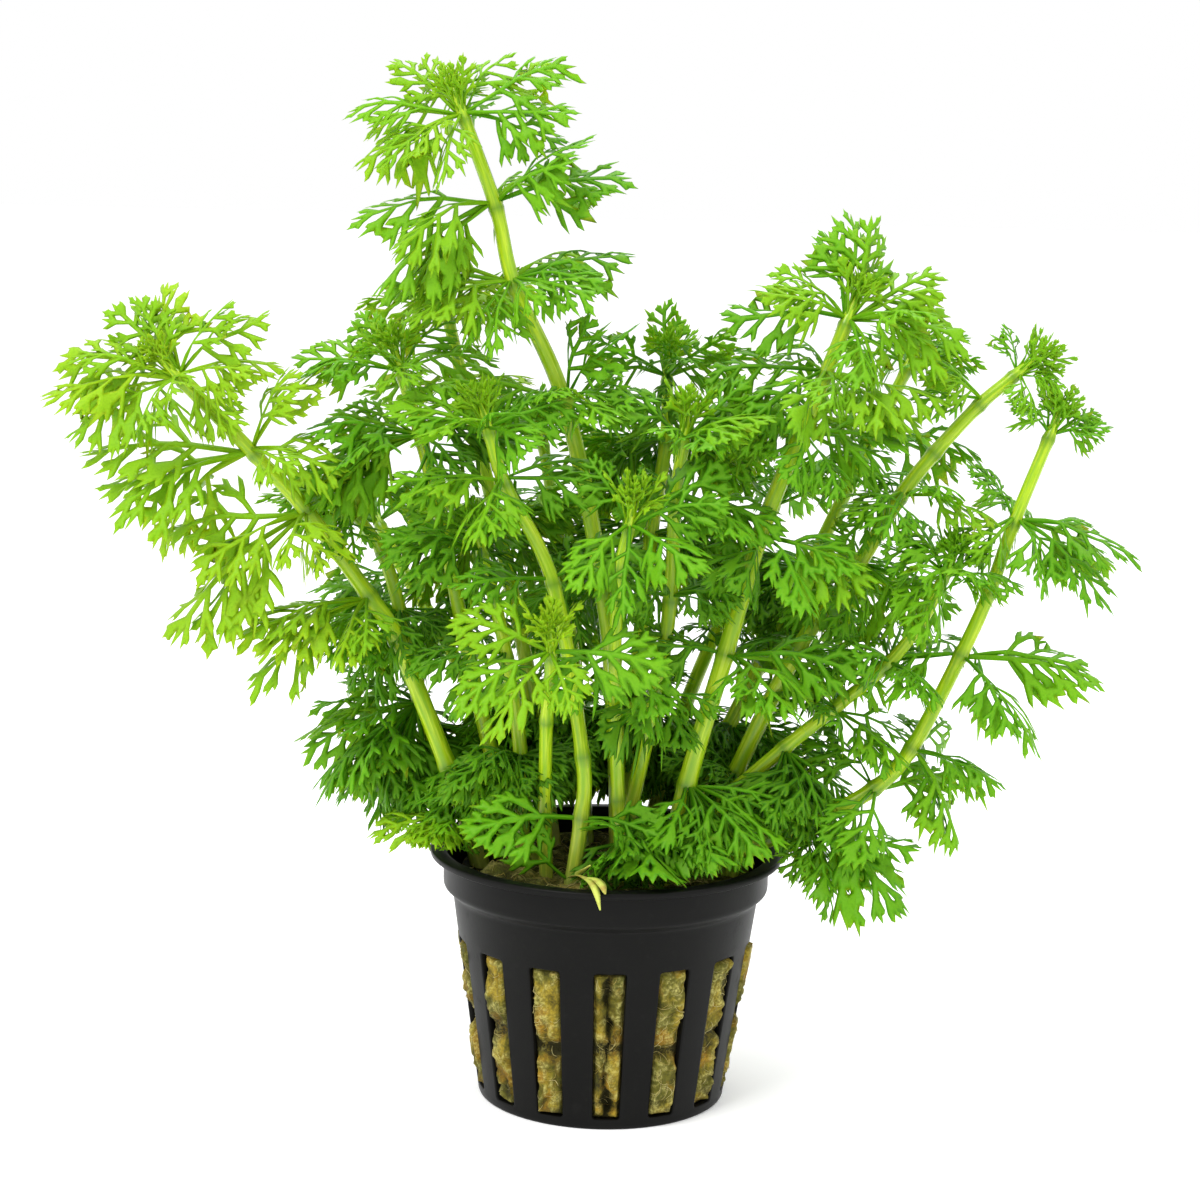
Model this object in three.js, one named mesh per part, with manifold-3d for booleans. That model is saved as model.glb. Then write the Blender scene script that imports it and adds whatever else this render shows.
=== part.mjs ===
// Potted ambulia: a bushy stem plant with feathery whorls of leaves, held by rockwool in a slotted net pot.
// Millimetres, +Z up, +X to the right of the front view, -Y to the front.
// The origin is the centre of the pot's underside.
import * as THREE from 'three';
import { mergeVertices } from 'three/addons/utils/BufferGeometryUtils.js';
import Module from 'manifold-3d';

const wasm = await Module();
wasm.setup();

// Pot
const POT_SIDES = 28;
const POT_H = 39.5;
const RIM_R = 27.5;
const RIM_T = 1.1;
const RIM_INNER_R = 25.2;
const COLLAR_R = 25.4;
const COLLAR_Z = 32.4;
const SHOULDER_H = 1.2;
const WALL_TOP_R = 23.9;
const BASE_R = 19.3;
const WALL_T = 1.1;
const FLOOR_T = 1.2;
const SLOTS = 14;
const SLOT_TURN = 2.5;
const SLOT_LOW = { z: 1.7, width: 4.1 };
const SLOT_HIGH = { z: 25.6, width: 4.95 };
const FLOOR_SLOTS = 7;
const FLOOR_SLOT = { from: 8, to: 15, width: 3 };

// Rockwool
const GAP = 0.3;
const WOOL_TOP_Z = 36.2;
const WOOL_LUMP = 0.9;
const WOOL_SIDES = 14;
const WOOL_RINGS = 4;
const WOOL_TOP_SHARE = 0.6;
const WOOL_WAVE = 0.55;
const WOOL_SWIRL = { depth: 1.7, turn: 0.9 };

// Stems and leaves
const STEM_SIDES = 5;
const END_GAP = 0.45;
const RING_GAP = 0.4;
const RING_T = 1.0;
const RING_H = 1.8;
const RING_ROOT = 0.3;
const BUD = [{ at: 2.4, share: 1.3 }, { at: 6.2, share: 0.25 }];
const LEAF_ROOT = 0.5;
const LEAF_CENTRE = 0.5;
const LEAF_ARCH = 0.07;
const CLEARANCE = 0.45;
const LEAF_LIFT = 1.0;
const LEAF_DROOP = 0.1;
const FACE = { up: 0.6, along: 0.2, out: 0.5, side: 0.6 };
const BACK_FROM_Y = 8;

// The kinds of leaf. A leaf is of the first kind that is made for its length. Each kind has half outlines of
// the leaf and of the room round it, as shares of its length: along the midrib and out to the side. Its
// thickness at the centre, above and below, is in millimetres. A short leaf is plain below.
const LEAF_KINDS = [
  {
    from: 19, above: 0.42, below: 0.42,
    half: [[0.26, 0.03], [0.5, 0.32], [0.78, 0.2]],
    clear: [[0.3, 0.08], [0.5, 0.33], [0.78, 0.21]],
  },
  {
    from: 17, above: 0.42, below: 0.42,
    half: [[0.28, 0.03], [0.56, 0.33]],
    clear: [[0.3, 0.09], [0.56, 0.34]],
  },
  { from: 0, above: 0.8, below: 0, half: [[0.55, 0.3]], clear: [[0.55, 0.31]] },
];

// Each shoot: its stem's radius at the base and the tip, the points that its stem passes through, the point
// where the shoot tip begins, and its whorls. A whorl grows at one of the points, and each of its leaves is
// [azimuth, rise, length], in degrees and millimetres.
// Azimuth 0 is right, 90 back, 180 left and 270 front.
const SHOOTS = [
  {
    name: 'tall', girth: [1.5, 1.05], tip: 2,
    path: [[2, 1, 33], [1, 0, 56], [-1.5, -1, 80], [-8, -2, 109], [-16, -1, 126.5], [-19, 0, 138],
      [-24, 1, 151]],
    whorls: [
      { at: 2, leaves: [[200, -5, 15], [300, -5, 14], [60, 10, 15], [130, 5, 15]] },
      { at: 3, leaves: [[192, 6, 19], [330, 50, 18], [292, -5, 16], [345, 12, 16]] },
      { at: 4, leaves: [[355, 14, 19], [312, -4, 18], [187, -4, 19], [222, -14, 18], [265, -35, 15],
        [60, 15, 18]] },
      { at: 5, leaves: [[350, 12, 21], [345, 38, 19], [184, -6, 21], [196, -28, 22], [205, -44, 17],
        [80, 15, 18]] },
      { at: 6, leaves: [[350, 24, 19], [188, -22, 17], [178, 4, 17], [160, 38, 15], [60, 50, 14],
        [335, -4, 18], [262, -35, 15], [100, 10, 16]] },
    ],
  },
  {
    name: 'front', girth: [1.35, 1.0], tip: 4,
    path: [[-5, -13, 33], [-5, -13.5, 37.5], [-4, -14, 47.5], [-4, -14, 57], [-9, -12.5, 83],
      [-16.5, -11, 97.5], [-19, -10, 105]],
    whorls: [
      { at: 1, leaves: [[202, 30, 14], [300, 12, 9]] },
      { at: 2, leaves: [[198, 8, 18], [340, 10, 14]] },
      { at: 4, leaves: [[205, 5, 16], [0, 20, 15]] },
      { at: 5, leaves: [[200, 0, 17], [255, -25, 16], [345, -5, 16]] },
      { at: 6, leaves: [[350, 20, 15], [300, 0, 15], [235, 5, 16], [185, 20, 16]] },
    ],
  },
  {
    name: 'low_front', girth: [1.15, 0.9], tip: 4,
    path: [[-9, -9, 33], [-9.5, -12, 48], [-9.5, -17, 63], [-9, -21, 70], [-9, -23, 74]],
    whorls: [
      { at: 4, leaves: [[211, -20, 17], [243, -34, 17], [285, -30, 13], [187, 22, 16], [347, 6, 18]] },
    ],
  },
  {
    name: 'front_centre', girth: [1.2, 0.9], tip: 2,
    path: [[3, -12, 33], [1.5, -12, 50], [0.5, -14, 72], [1, -16, 86], [2, -17, 92]],
    whorls: [
      { at: 2, leaves: [[230, -15, 15], [312, -18, 15]] },
      { at: 4, leaves: [[12, 42, 18], [345, 20, 16], [318, -12, 16], [272, -42, 16], [222, -22, 15],
        [140, 60, 13]] },
    ],
  },
  {
    name: 'mid_left', girth: [1.25, 0.95], tip: 1,
    path: [[-13, -5, 33], [-13.5, -5, 54], [-16, -5, 70], [-18, -5, 79], [-20, -5, 86]],
    whorls: [
      { at: 1, leaves: [[215, -5, 15], [265, -20, 13], [330, 5, 13]] },
      { at: 2, leaves: [[212, 0, 17], [252, -22, 16]] },
      { at: 4, leaves: [[195, 15, 16], [232, -5, 16], [285, -10, 13]] },
    ],
  },
  {
    name: 'far_left', girth: [1.65, 1.1], tip: 6,
    path: [[-19, 1, 33], [-22, 0, 44], [-25, -1, 52], [-33, -1, 71.5], [-37.5, -1, 78.5], [-47, -2, 91.5],
      [-55, -2, 100], [-66, -2, 111]],
    whorls: [
      { at: 1, leaves: [[200, -8, 14], [235, -6, 12]] },
      { at: 4, leaves: [[187, -30, 21], [195, -10, 20], [250, -30, 15]] },
      { at: 5, leaves: [[187, -35, 26], [183, -10, 21], [262, -18, 16], [75, 25, 16]] },
      { at: 6, leaves: [[187, -20, 23], [179, 4, 26], [352, 48, 19], [338, 2, 16]] },
      { at: 7, leaves: [[180, 2, 20], [165, 22, 19], [190, -24, 18], [150, 50, 17], [110, 66, 17],
        [0, 42, 18], [352, 8, 16], [330, -24, 14], [255, -20, 15]] },
    ],
  },
  {
    name: 'left', girth: [1.35, 1.0], tip: 3,
    path: [[-15, 8, 33], [-24.5, 8, 46], [-30, 8, 60], [-33, 7, 74], [-36, 6, 84], [-40, 5, 90]],
    whorls: [
      { at: 2, leaves: [[187, -16, 19], [219, -36, 20], [240, -58, 16], [120, 0, 16]] },
      { at: 3, leaves: [[190, -10, 16], [240, -25, 15], [120, 0, 16], [335, -10, 12]] },
      { at: 5, leaves: [[190, 12, 15], [145, 20, 14], [105, 10, 16], [60, 25, 14], [255, -25, 13]] },
    ],
  },
  {
    name: 'upper_left', girth: [1.35, 1.0], tip: 1,
    path: [[-10, 3, 33], [-17.5, 4, 50], [-23, 4, 72], [-26, 4, 86], [-30, 4, 102], [-33, 3, 112]],
    whorls: [
      { at: 1, leaves: [[190, -15, 15], [250, -20, 14], [120, 0, 15], [330, 0, 13]] },
      { at: 2, leaves: [[110, 10, 15]] },
      { at: 3, leaves: [[30, 5, 14]] },
      { at: 4, leaves: [[194, -12, 20], [335, -4, 17], [170, 10, 15]] },
      { at: 5, leaves: [[178, 12, 17], [215, 5, 16], [268, 0, 15], [10, 20, 15], [60, 42, 14],
        [130, 40, 14]] },
    ],
  },
  {
    name: 'back_left', girth: [1.4, 1.0], tip: 1,
    path: [[-8, 12, 33], [-12, 15, 58], [-18, 17, 85], [-24, 18, 108], [-27, 18, 120]],
    whorls: [
      { at: 1, leaves: [[190, -15, 16], [250, -30, 15], [320, -15, 15], [120, 0, 16]] },
      { at: 2, leaves: [[90, 0, 18], [150, -5, 18], [20, 25, 15]] },
      { at: 3, leaves: [[60, 0, 17], [110, 0, 17], [165, 0, 17]] },
      { at: 4, leaves: [[182, 8, 14], [135, 15, 15], [80, 20, 15], [20, 24, 16], [330, 12, 15],
        [250, 0, 14]] },
    ],
  },
  {
    name: 'centre', girth: [1.35, 1.0], tip: 3,
    path: [[1.5, -6, 33], [3.2, -7, 45.5], [7, -8.5, 66], [8.7, -8, 80], [9, -8, 95], [10, -8, 104]],
    whorls: [
      { at: 1, leaves: [[282, -14, 22], [302, -10, 21]] },
      { at: 2, leaves: [[240, -14, 16], [295, -20, 13]] },
      { at: 3, leaves: [[20, 10, 14], [225, 10, 12], [320, 10, 14]] },
      { at: 4, leaves: [[305, -10, 17], [350, -5, 17], [240, 20, 13]] },
      { at: 5, leaves: [[325, 20, 16], [10, 28, 16], [280, 5, 14], [195, 28, 14]] },
    ],
  },
  {
    name: 'right', girth: [1.6, 1.1], tip: 4,
    path: [[8.5, -8, 33], [12, -9.5, 52], [17.2, -10, 72.5], [22, -8, 90.5], [27.4, -5, 105], [31, -4, 114],
      [34, -3, 122]],
    whorls: [
      { at: 1, leaves: [[315, -22, 17], [277, -32, 15]] },
      { at: 2, leaves: [[345, 0, 20], [308, -18, 18], [200, 8, 14]] },
      { at: 3, leaves: [[300, -26, 18], [335, -10, 18], [250, -22, 14]] },
      { at: 4, leaves: [[345, 0, 16], [215, 0, 13], [270, -25, 15], [60, 30, 15], [130, 10, 15]] },
      { at: 5, leaves: [[352, -10, 19], [305, -20, 17], [245, -16, 17], [186, -4, 18], [130, 10, 15]] },
      { at: 6, leaves: [[352, 6, 18], [15, 28, 17], [183, 5, 19], [165, 42, 14], [30, 66, 18], [100, 78, 18],
        [320, 10, 15], [280, -35, 14]] },
    ],
  },
  {
    name: 'right_curl', girth: [1.5, 1.0], tip: 3,
    path: [[14, 3, 33], [20, 3, 51], [29, 1, 71.5], [37.5, 1, 84.5], [43.5, 0, 95.5], [48.5, 0, 102.5],
      [55, 0, 110], [60, 0, 114.5]],
    whorls: [
      { at: 1, leaves: [[320, -5, 13], [40, -10, 13], [230, 20, 12]] },
      { at: 2, leaves: [[320, 0, 14], [90, 0, 17]] },
      { at: 3, leaves: [[320, -35, 16], [0, -20, 16], [90, 0, 16], [200, -30, 15], [250, -35, 15]] },
      { at: 4, leaves: [[330, -5, 15], [80, 5, 17], [250, -14, 15], [195, -30, 13]] },
      { at: 6, leaves: [[168, 40, 13], [200, 5, 12]] },
      { at: 7, leaves: [[115, 60, 9], [20, 35, 8], [345, -5, 7], [290, -42, 9]] },
    ],
  },
  {
    name: 'far_right', girth: [1.5, 1.0], tip: 8,
    path: [[18, -3, 33], [21, -4, 40], [25, -4.5, 42.6], [31, -5, 45], [41, -5, 51], [46.5, -5, 57.5],
      [53.5, -4, 72], [57.5, -3, 81.5], [61, -1, 92], [66, 1, 105]],
    whorls: [
      { at: 3, leaves: [[285, -34, 13], [330, -18, 19], [40, -15, 15]] },
      { at: 4, leaves: [[30, 0, 14], [160, 30, 13], [250, -30, 15]] },
      { at: 5, leaves: [[342, -62, 15], [338, -6, 14], [80, -8, 16]] },
      { at: 6, leaves: [[352, -7, 21], [318, -38, 18], [160, -20, 14], [75, -5, 17]] },
      { at: 8, leaves: [[352, -6, 19], [336, -34, 19], [180, 55, 13], [215, -24, 15], [80, 5, 17],
        [295, -40, 15]] },
      { at: 9, leaves: [[340, 6, 9], [20, 26, 9], [80, 60, 8], [190, 40, 9]] },
    ],
  },
  {
    name: 'mid_right', girth: [1.35, 0.95], tip: 5,
    path: [[10, -1, 33], [14, -2, 43.5], [20, -3, 50], [27, -3, 56.5], [34.5, -3, 63], [42, -4, 70],
      [47, -5, 77], [50, -6, 84]],
    whorls: [
      { at: 3, leaves: [[265, -35, 15], [310, -40, 15], [10, -32, 14]] },
      { at: 4, leaves: [[260, 10, 14], [110, 10, 15], [330, -25, 14]] },
      { at: 5, leaves: [[300, -10, 14], [240, 20, 14], [100, 20, 15]] },
      { at: 7, leaves: [[205, 30, 14], [255, 5, 15], [300, 5, 14], [130, 40, 13], [240, -30, 14]] },
    ],
  },
  {
    name: 'back_centre', girth: [1.4, 1.0], tip: 1,
    path: [[3, 9, 33], [4, 15, 60], [6, 21, 85], [8, 24, 100], [8, 25, 110]],
    whorls: [
      { at: 1, leaves: [[325, -30, 12], [265, -30, 15], [90, 0, 16]] },
      { at: 2, leaves: [[40, -5, 18], [130, -5, 18], [340, 0, 14]] },
      { at: 3, leaves: [[10, 0, 17], [85, 0, 17], [175, 0, 17]] },
      { at: 4, leaves: [[350, 24, 17], [35, 30, 15], [100, 70, 14], [195, 30, 17], [280, 20, 14],
        [260, -25, 17]] },
    ],
  },
  {
    name: 'back_right', girth: [1.4, 1.0], tip: 1,
    path: [[9, 12, 33], [19, 16, 55], [31, 20, 80], [41, 22, 102], [46, 22, 113]],
    whorls: [
      { at: 1, leaves: [[0, -10, 16], [285, -35, 12], [230, -10, 14], [80, 0, 16]] },
      { at: 2, leaves: [[20, -5, 17], [90, -5, 18], [165, 0, 16], [225, -25, 15]] },
      { at: 3, leaves: [[345, -5, 17], [60, -5, 17], [240, -25, 18]] },
      { at: 4, leaves: [[345, 6, 12], [50, 20, 15], [110, 25, 15], [185, 25, 14], [290, 5, 12]] },
    ],
  },
  {
    name: 'back', girth: [1.4, 1.0], tip: 1,
    path: [[-3, 15, 33], [-5, 24, 55], [-8, 33, 76], [-10, 38, 87], [-12, 42, 97]],
    whorls: [
      { at: 1, leaves: [[200, -20, 15], [280, -30, 15], [345, -20, 11], [90, 0, 16], [140, 0, 16]] },
      { at: 2, leaves: [[60, -15, 17], [120, -15, 17]] },
      { at: 3, leaves: [[10, 0, 16], [90, -5, 17], [180, 0, 16]] },
      { at: 4, leaves: [[20, 25, 15], [90, 25, 15], [160, 25, 15], [240, 40, 13], [310, 40, 13]] },
    ],
  },
  {
    name: 'back_low_left', girth: [1.4, 1.0], tip: 2,
    path: [[-12, 13, 33], [-19, 21, 52], [-28, 30, 67], [-34, 36, 75], [-39, 41, 83]],
    whorls: [
      { at: 2, leaves: [[90, -10, 16], [190, -10, 16], [260, -20, 14], [350, 0, 14]] },
      { at: 3, leaves: [[80, -10, 17], [150, -10, 18], [225, -5, 14]] },
      { at: 4, leaves: [[50, 20, 15], [110, 20, 15], [170, 20, 15], [230, 20, 14], [330, 45, 13]] },
    ],
  },
  {
    name: 'back_low_right', girth: [1.4, 1.0], tip: 1,
    path: [[6, 18, 33], [11, 26, 52], [18, 35, 69], [22, 40, 78], [27, 45, 87]],
    whorls: [
      { at: 1, leaves: [[300, -20, 15], [0, -10, 16], [230, -15, 14]] },
      { at: 2, leaves: [[0, -10, 16], [60, 0, 16], [250, -10, 15], [310, -20, 15]] },
      { at: 3, leaves: [[0, -10, 17], [70, -10, 18], [150, -5, 15]] },
      { at: 4, leaves: [[350, 20, 15], [50, 20, 15], [110, 20, 15], [175, 25, 14], [270, 45, 13]] },
    ],
  },
];

const FINISHES = {
  plastic: new THREE.MeshStandardMaterial({ color: 0x2b2b2d, roughness: 0.48, metalness: 0 }),
  rockwool: new THREE.MeshStandardMaterial({ color: 0x8f8340, roughness: 0.95, metalness: 0 }),
  stem: new THREE.MeshStandardMaterial({ color: 0x9cbf4a, roughness: 0.4, metalness: 0 }),
  leaf: new THREE.MeshStandardMaterial({ color: 0x5aa81e, roughness: 0.5, metalness: 0 }),
};

// Turns degrees into radians.
function rad(degrees) {
  return THREE.MathUtils.degToRad(degrees);
}

// Gives a repeatable number from -1 to 1 for a whole number.
function scatter(seed) {
  return 2 * THREE.MathUtils.seededRandom(seed + 1) - 1;
}

// Makes a solid from a closed geometry.
function solidOf(geometry) {
  geometry.deleteAttribute('normal');
  geometry.deleteAttribute('uv');
  const merged = mergeVertices(geometry, 1e-4);
  return new wasm.Manifold(new wasm.Mesh({
    numProp: 3,
    vertProperties: new Float32Array(merged.attributes.position.array),
    triVerts: new Uint32Array(merged.index.array),
  }));
}

// Makes a geometry from corner points and the triangles between them.
function facets(points, triangles) {
  const geometry = new THREE.BufferGeometry();
  geometry.setAttribute('position', new THREE.Float32BufferAttribute(points.flatMap((p) => p.toArray()), 3));
  geometry.setIndex(triangles.flat());
  return geometry;
}

// Makes a named mesh from a solid, keeping its largest body.
function meshOf(name, solid, finish) {
  const bodies = solid.decompose().sort((a, b) => b.volume() - a.volume());
  const { vertProperties, triVerts } = bodies[0].getMesh();
  const geometry = new THREE.BufferGeometry();
  geometry.setAttribute('position', new THREE.Float32BufferAttribute(vertProperties, 3));
  geometry.setIndex([...triVerts]);
  const mesh = new THREE.Mesh(geometry, finish);
  mesh.name = name;
  return mesh;
}

// Gives the pot wall's outer radius at a height.
function wallRadius(z) {
  return BASE_R + (WALL_TOP_R - BASE_R) * z / COLLAR_Z;
}

// Makes the pot's turned body from its closed section.
function potBody() {
  const section = [
    [0, 0],
    [BASE_R, 0],
    [WALL_TOP_R, COLLAR_Z],
    [COLLAR_R, COLLAR_Z + SHOULDER_H],
    [COLLAR_R, POT_H - RIM_T],
    [RIM_R, POT_H - RIM_T],
    [RIM_R, POT_H],
    [RIM_INNER_R, POT_H],
    [COLLAR_R - WALL_T, COLLAR_Z + SHOULDER_H],
    [WALL_TOP_R - WALL_T, COLLAR_Z],
    [wallRadius(FLOOR_T) - WALL_T, FLOOR_T],
    [0, FLOOR_T],
  ].map(([r, z]) => new THREE.Vector2(r, z));
  const turned = new THREE.LatheGeometry(section, POT_SIDES).rotateX(Math.PI / 2);
  return solidOf(turned.rotateZ(rad(SLOT_TURN + 180 / POT_SIDES)));
}

// Makes the tapered block that opens one wall slot, at the front.
function slotCutter() {
  const outline = new THREE.Shape([
    new THREE.Vector2(-SLOT_LOW.width / 2, SLOT_LOW.z),
    new THREE.Vector2(SLOT_LOW.width / 2, SLOT_LOW.z),
    new THREE.Vector2(SLOT_HIGH.width / 2, SLOT_HIGH.z),
    new THREE.Vector2(-SLOT_HIGH.width / 2, SLOT_HIGH.z),
  ]);
  const depth = RIM_R - BASE_R / 2;
  const block = new THREE.ExtrudeGeometry(outline, { depth, bevelEnabled: false });
  return block.rotateX(Math.PI / 2).translate(0, -BASE_R / 2, 0);
}

// Makes the net pot with its slotted wall and floor.
function potSolid() {
  let pot = potBody();
  for (let i = 0; i < SLOTS; i += 1) {
    const turn = rad(SLOT_TURN + i * 360 / SLOTS);
    pot = pot.subtract(solidOf(slotCutter().rotateZ(turn)));
  }
  const length = FLOOR_SLOT.to - FLOOR_SLOT.from;
  for (let i = 0; i < FLOOR_SLOTS; i += 1) {
    const opening = new THREE.BoxGeometry(length, FLOOR_SLOT.width, 4 * FLOOR_T);
    opening.translate(FLOOR_SLOT.from + length / 2, 0, 0).rotateZ(rad(i * 360 / FLOOR_SLOTS));
    pot = pot.subtract(solidOf(opening));
  }
  return pot;
}

// Gives the rockwool's radius at a height and a side, with shallow dents in it.
function woolRadius(z, side) {
  const inner = Math.min(wallRadius(z), WALL_TOP_R) - WALL_T - GAP;
  const swirl = WOOL_SWIRL.depth * Math.sin(side * WOOL_SWIRL.turn);
  const dent = Math.max(0, Math.sin(z * WOOL_WAVE + swirl)) * (1 + scatter(side)) / 2;
  return inner - dent;
}

// Makes the rockwool plug, lumpy on top, that fills the pot.
function woolBody() {
  const points = [];
  const triangles = [];
  const low = FLOOR_T + GAP;
  for (let ring = 0; ring <= WOOL_RINGS; ring += 1) {
    const z = low + (WOOL_TOP_Z - low) * ring / WOOL_RINGS;
    for (let side = 0; side < WOOL_SIDES; side += 1) {
      const angle = 2 * Math.PI * side / WOOL_SIDES;
      const r = woolRadius(z, side);
      points.push(new THREE.Vector3(Math.sin(angle) * r, -Math.cos(angle) * r, z));
    }
  }
  for (let side = 0; side < WOOL_SIDES; side += 1) {
    const angle = 2 * Math.PI * side / WOOL_SIDES;
    const r = WOOL_TOP_SHARE * woolRadius(WOOL_TOP_Z, side);
    const z = WOOL_TOP_Z + WOOL_LUMP * scatter(WOOL_SIDES + side);
    points.push(new THREE.Vector3(Math.sin(angle) * r, -Math.cos(angle) * r, z));
  }
  const rings = points.length / WOOL_SIDES;
  points.push(new THREE.Vector3(0, 0, low), new THREE.Vector3(0, 0, WOOL_TOP_Z));
  for (let side = 0; side < WOOL_SIDES; side += 1) {
    const next = (side + 1) % WOOL_SIDES;
    for (let ring = 0; ring < rings - 1; ring += 1) {
      const a = ring * WOOL_SIDES;
      const b = a + WOOL_SIDES;
      triangles.push([a + side, a + next, b + next], [a + side, b + next, b + side]);
    }
    const last = (rings - 1) * WOOL_SIDES;
    triangles.push([points.length - 2, next, side], [points.length - 1, last + side, last + next]);
  }
  return solidOf(facets(points, triangles));
}

// Gives the direction of a shoot's stem at one of its points.
function stemAlong(path, at) {
  const before = path[Math.max(at - 1, 0)];
  const after = path[Math.min(at + 1, path.length - 1)];
  return after.clone().sub(before).normalize();
}

// Gives the stem's radius at one of its points.
function stemRadius(shoot, at) {
  const [base, end] = shoot.girth;
  return base + (end - base) * at / (shoot.path.length - 1);
}

// Gives the two directions across a stem, the first of them the nearest to +X.
function stemAcross(along) {
  const first = new THREE.Vector3(1, 0, 0).addScaledVector(along, -along.x).normalize();
  return [first, along.clone().cross(first)];
}

// Makes a tube of the stem's section through a row of stations.
function tube(stations) {
  const points = [];
  const triangles = [];
  for (const { centre, along, radius } of stations) {
    const [first, second] = stemAcross(along);
    for (let side = 0; side < STEM_SIDES; side += 1) {
      const angle = 2 * Math.PI * side / STEM_SIDES;
      points.push(centre.clone().addScaledVector(first, radius * Math.cos(angle))
        .addScaledVector(second, radius * Math.sin(angle)));
    }
  }
  const last = (stations.length - 1) * STEM_SIDES;
  for (let side = 0; side < STEM_SIDES; side += 1) {
    const next = (side + 1) % STEM_SIDES;
    for (let a = 0; a < last; a += STEM_SIDES) {
      const b = a + STEM_SIDES;
      triangles.push([a + side, a + next, b + next], [a + side, b + next, b + side]);
    }
    if (side > 0 && next > 0) {
      triangles.push([0, next, side], [last, last + side, last + next]);
    }
  }
  return solidOf(facets(points, triangles));
}

// Gives the tube stations between two of the stem's points, moved along it at each end.
function stations(shoot, from, to, startMove, endMove, grow) {
  const found = [];
  for (let at = from; at <= to; at += 1) {
    const along = stemAlong(shoot.path, at);
    const move = (at === from ? startMove : 0) + (at === to ? endMove : 0);
    const centre = shoot.path[at].clone().addScaledVector(along, move);
    found.push({ centre, along, radius: stemRadius(shoot, at) + grow });
  }
  return found;
}

// Makes the stem up to the shoot tip.
function stemSolid(shoot, grow) {
  return tube(stations(shoot, 0, shoot.tip, -grow, grow - END_GAP, grow));
}

// Makes the shoot tip's stem, which closes in a bud.
function tipStemSolid(shoot, grow) {
  const end = shoot.path.length - 1;
  const found = stations(shoot, shoot.tip, end, -grow, 0, grow);
  const { centre, along } = found[found.length - 1];
  for (const { at, share } of BUD) {
    const radius = stemRadius(shoot, end) * share + grow;
    found.push({ centre: centre.clone().addScaledVector(along, at), along, radius });
  }
  return tube(found);
}

// Makes the ring that a whorl's leaves grow from, round the stem.
function ringSolid(shoot, at, grow) {
  const along = stemAlong(shoot.path, at);
  const inner = stemRadius(shoot, at) + RING_GAP - grow;
  const outer = inner + RING_T + 2 * grow;
  const half = RING_H / 2 + grow;
  const section = [[inner, -half], [outer, 0], [inner, half], [inner, -half]]
    .map(([r, z]) => new THREE.Vector2(r, z));
  const ring = new THREE.LatheGeometry(section, STEM_SIDES, Math.PI / 2).rotateX(Math.PI / 2);
  const [first, second] = stemAcross(along);
  ring.applyMatrix4(new THREE.Matrix4().makeBasis(first, second, along));
  return solidOf(ring.translate(...shoot.path[at].toArray()));
}

// Gives the direction of an azimuth and a rise.
function wayOf(azimuth, rise) {
  const level = Math.cos(rad(rise));
  const x = level * Math.cos(rad(azimuth));
  const y = level * Math.sin(rad(azimuth));
  return new THREE.Vector3(x, y, Math.sin(rad(rise)));
}

// Lists the leaves of a whorl, each with its base, its three directions and its length. A face looks up,
// away from the pot's axis, and to the front or the back.
function whorlLeaves(shoot, whorl) {
  const along = stemAlong(shoot.path, whorl.at);
  const onTip = whorl.at >= shoot.tip;
  const centre = shoot.path[whorl.at].clone().addScaledVector(along, onTip ? LEAF_LIFT : 0);
  const out = stemRadius(shoot, whorl.at) + (onTip ? -LEAF_ROOT : RING_GAP + RING_ROOT);
  return whorl.leaves.map(([azimuth, rise, length]) => {
    const way = wayOf(azimuth, rise);
    const level = way.clone().addScaledVector(along, -way.dot(along)).normalize();
    const base = centre.clone().addScaledVector(level, out);
    const open = new THREE.Vector3(base.x, base.y, 0).normalize().multiplyScalar(FACE.out)
      .addScaledVector(along, FACE.along);
    open.y += base.y < BACK_FROM_Y ? -FACE.side : FACE.side;
    open.z += FACE.up;
    const face = open.addScaledVector(way, -way.dot(open)).normalize();
    return { base, way, face, side: way.clone().cross(face), length };
  });
}

// Gives a point of a leaf from its shares along and to the side, and its height off the leaf's face.
function leafPoint(leaf, along, side, lift) {
  const arch = LEAF_ARCH * 4 * along * (1 - along) * leaf.length + lift;
  const point = leaf.base.clone()
    .addScaledVector(leaf.way, along * leaf.length)
    .addScaledVector(leaf.side, side * leaf.length)
    .addScaledVector(leaf.face, arch);
  point.z -= LEAF_DROOP * along * along * leaf.length;
  return point;
}

// Lists a leaf's outline from its root, up one side of the blade and down the other, grown outwards.
function leafOutline(leaf, half, grow) {
  const left = half.map(([along, side]) => [along, side]);
  const right = half.map(([along, side]) => [along, -side]).reverse();
  return [[0, 0], ...left, [1, 0], ...right].map(([along, side]) => {
    const away = new THREE.Vector2(along - LEAF_CENTRE, side);
    away.setLength(away.length() + grow / leaf.length);
    return [LEAF_CENTRE + away.x, away.y];
  });
}

// Gives the kind of leaf that is made for a length.
function leafKind(length) {
  return LEAF_KINDS.find(({ from }) => length >= from);
}

// Makes one leaf, thickest at its centre and thin at its edge. A leaf that is plain below has four corners.
function leafSolid(leaf) {
  const { half, above, below } = leafKind(leaf.length);
  const outline = leafOutline(leaf, half, 0);
  const count = outline.length;
  const points = outline.map(([along, side]) => leafPoint(leaf, along, side, 0));
  points.push(leafPoint(leaf, LEAF_CENTRE, 0, above));
  const triangles = outline.map((_, i) => [i, (i + 1) % count, count]);
  if (below > 0) {
    points.push(leafPoint(leaf, LEAF_CENTRE, 0, -below));
    triangles.push(...outline.map((_, i) => [(i + 1) % count, i, count + 1]));
  } else {
    triangles.push([0, 3, 1], [1, 3, 2]);
  }
  return solidOf(facets(points, triangles));
}

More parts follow.
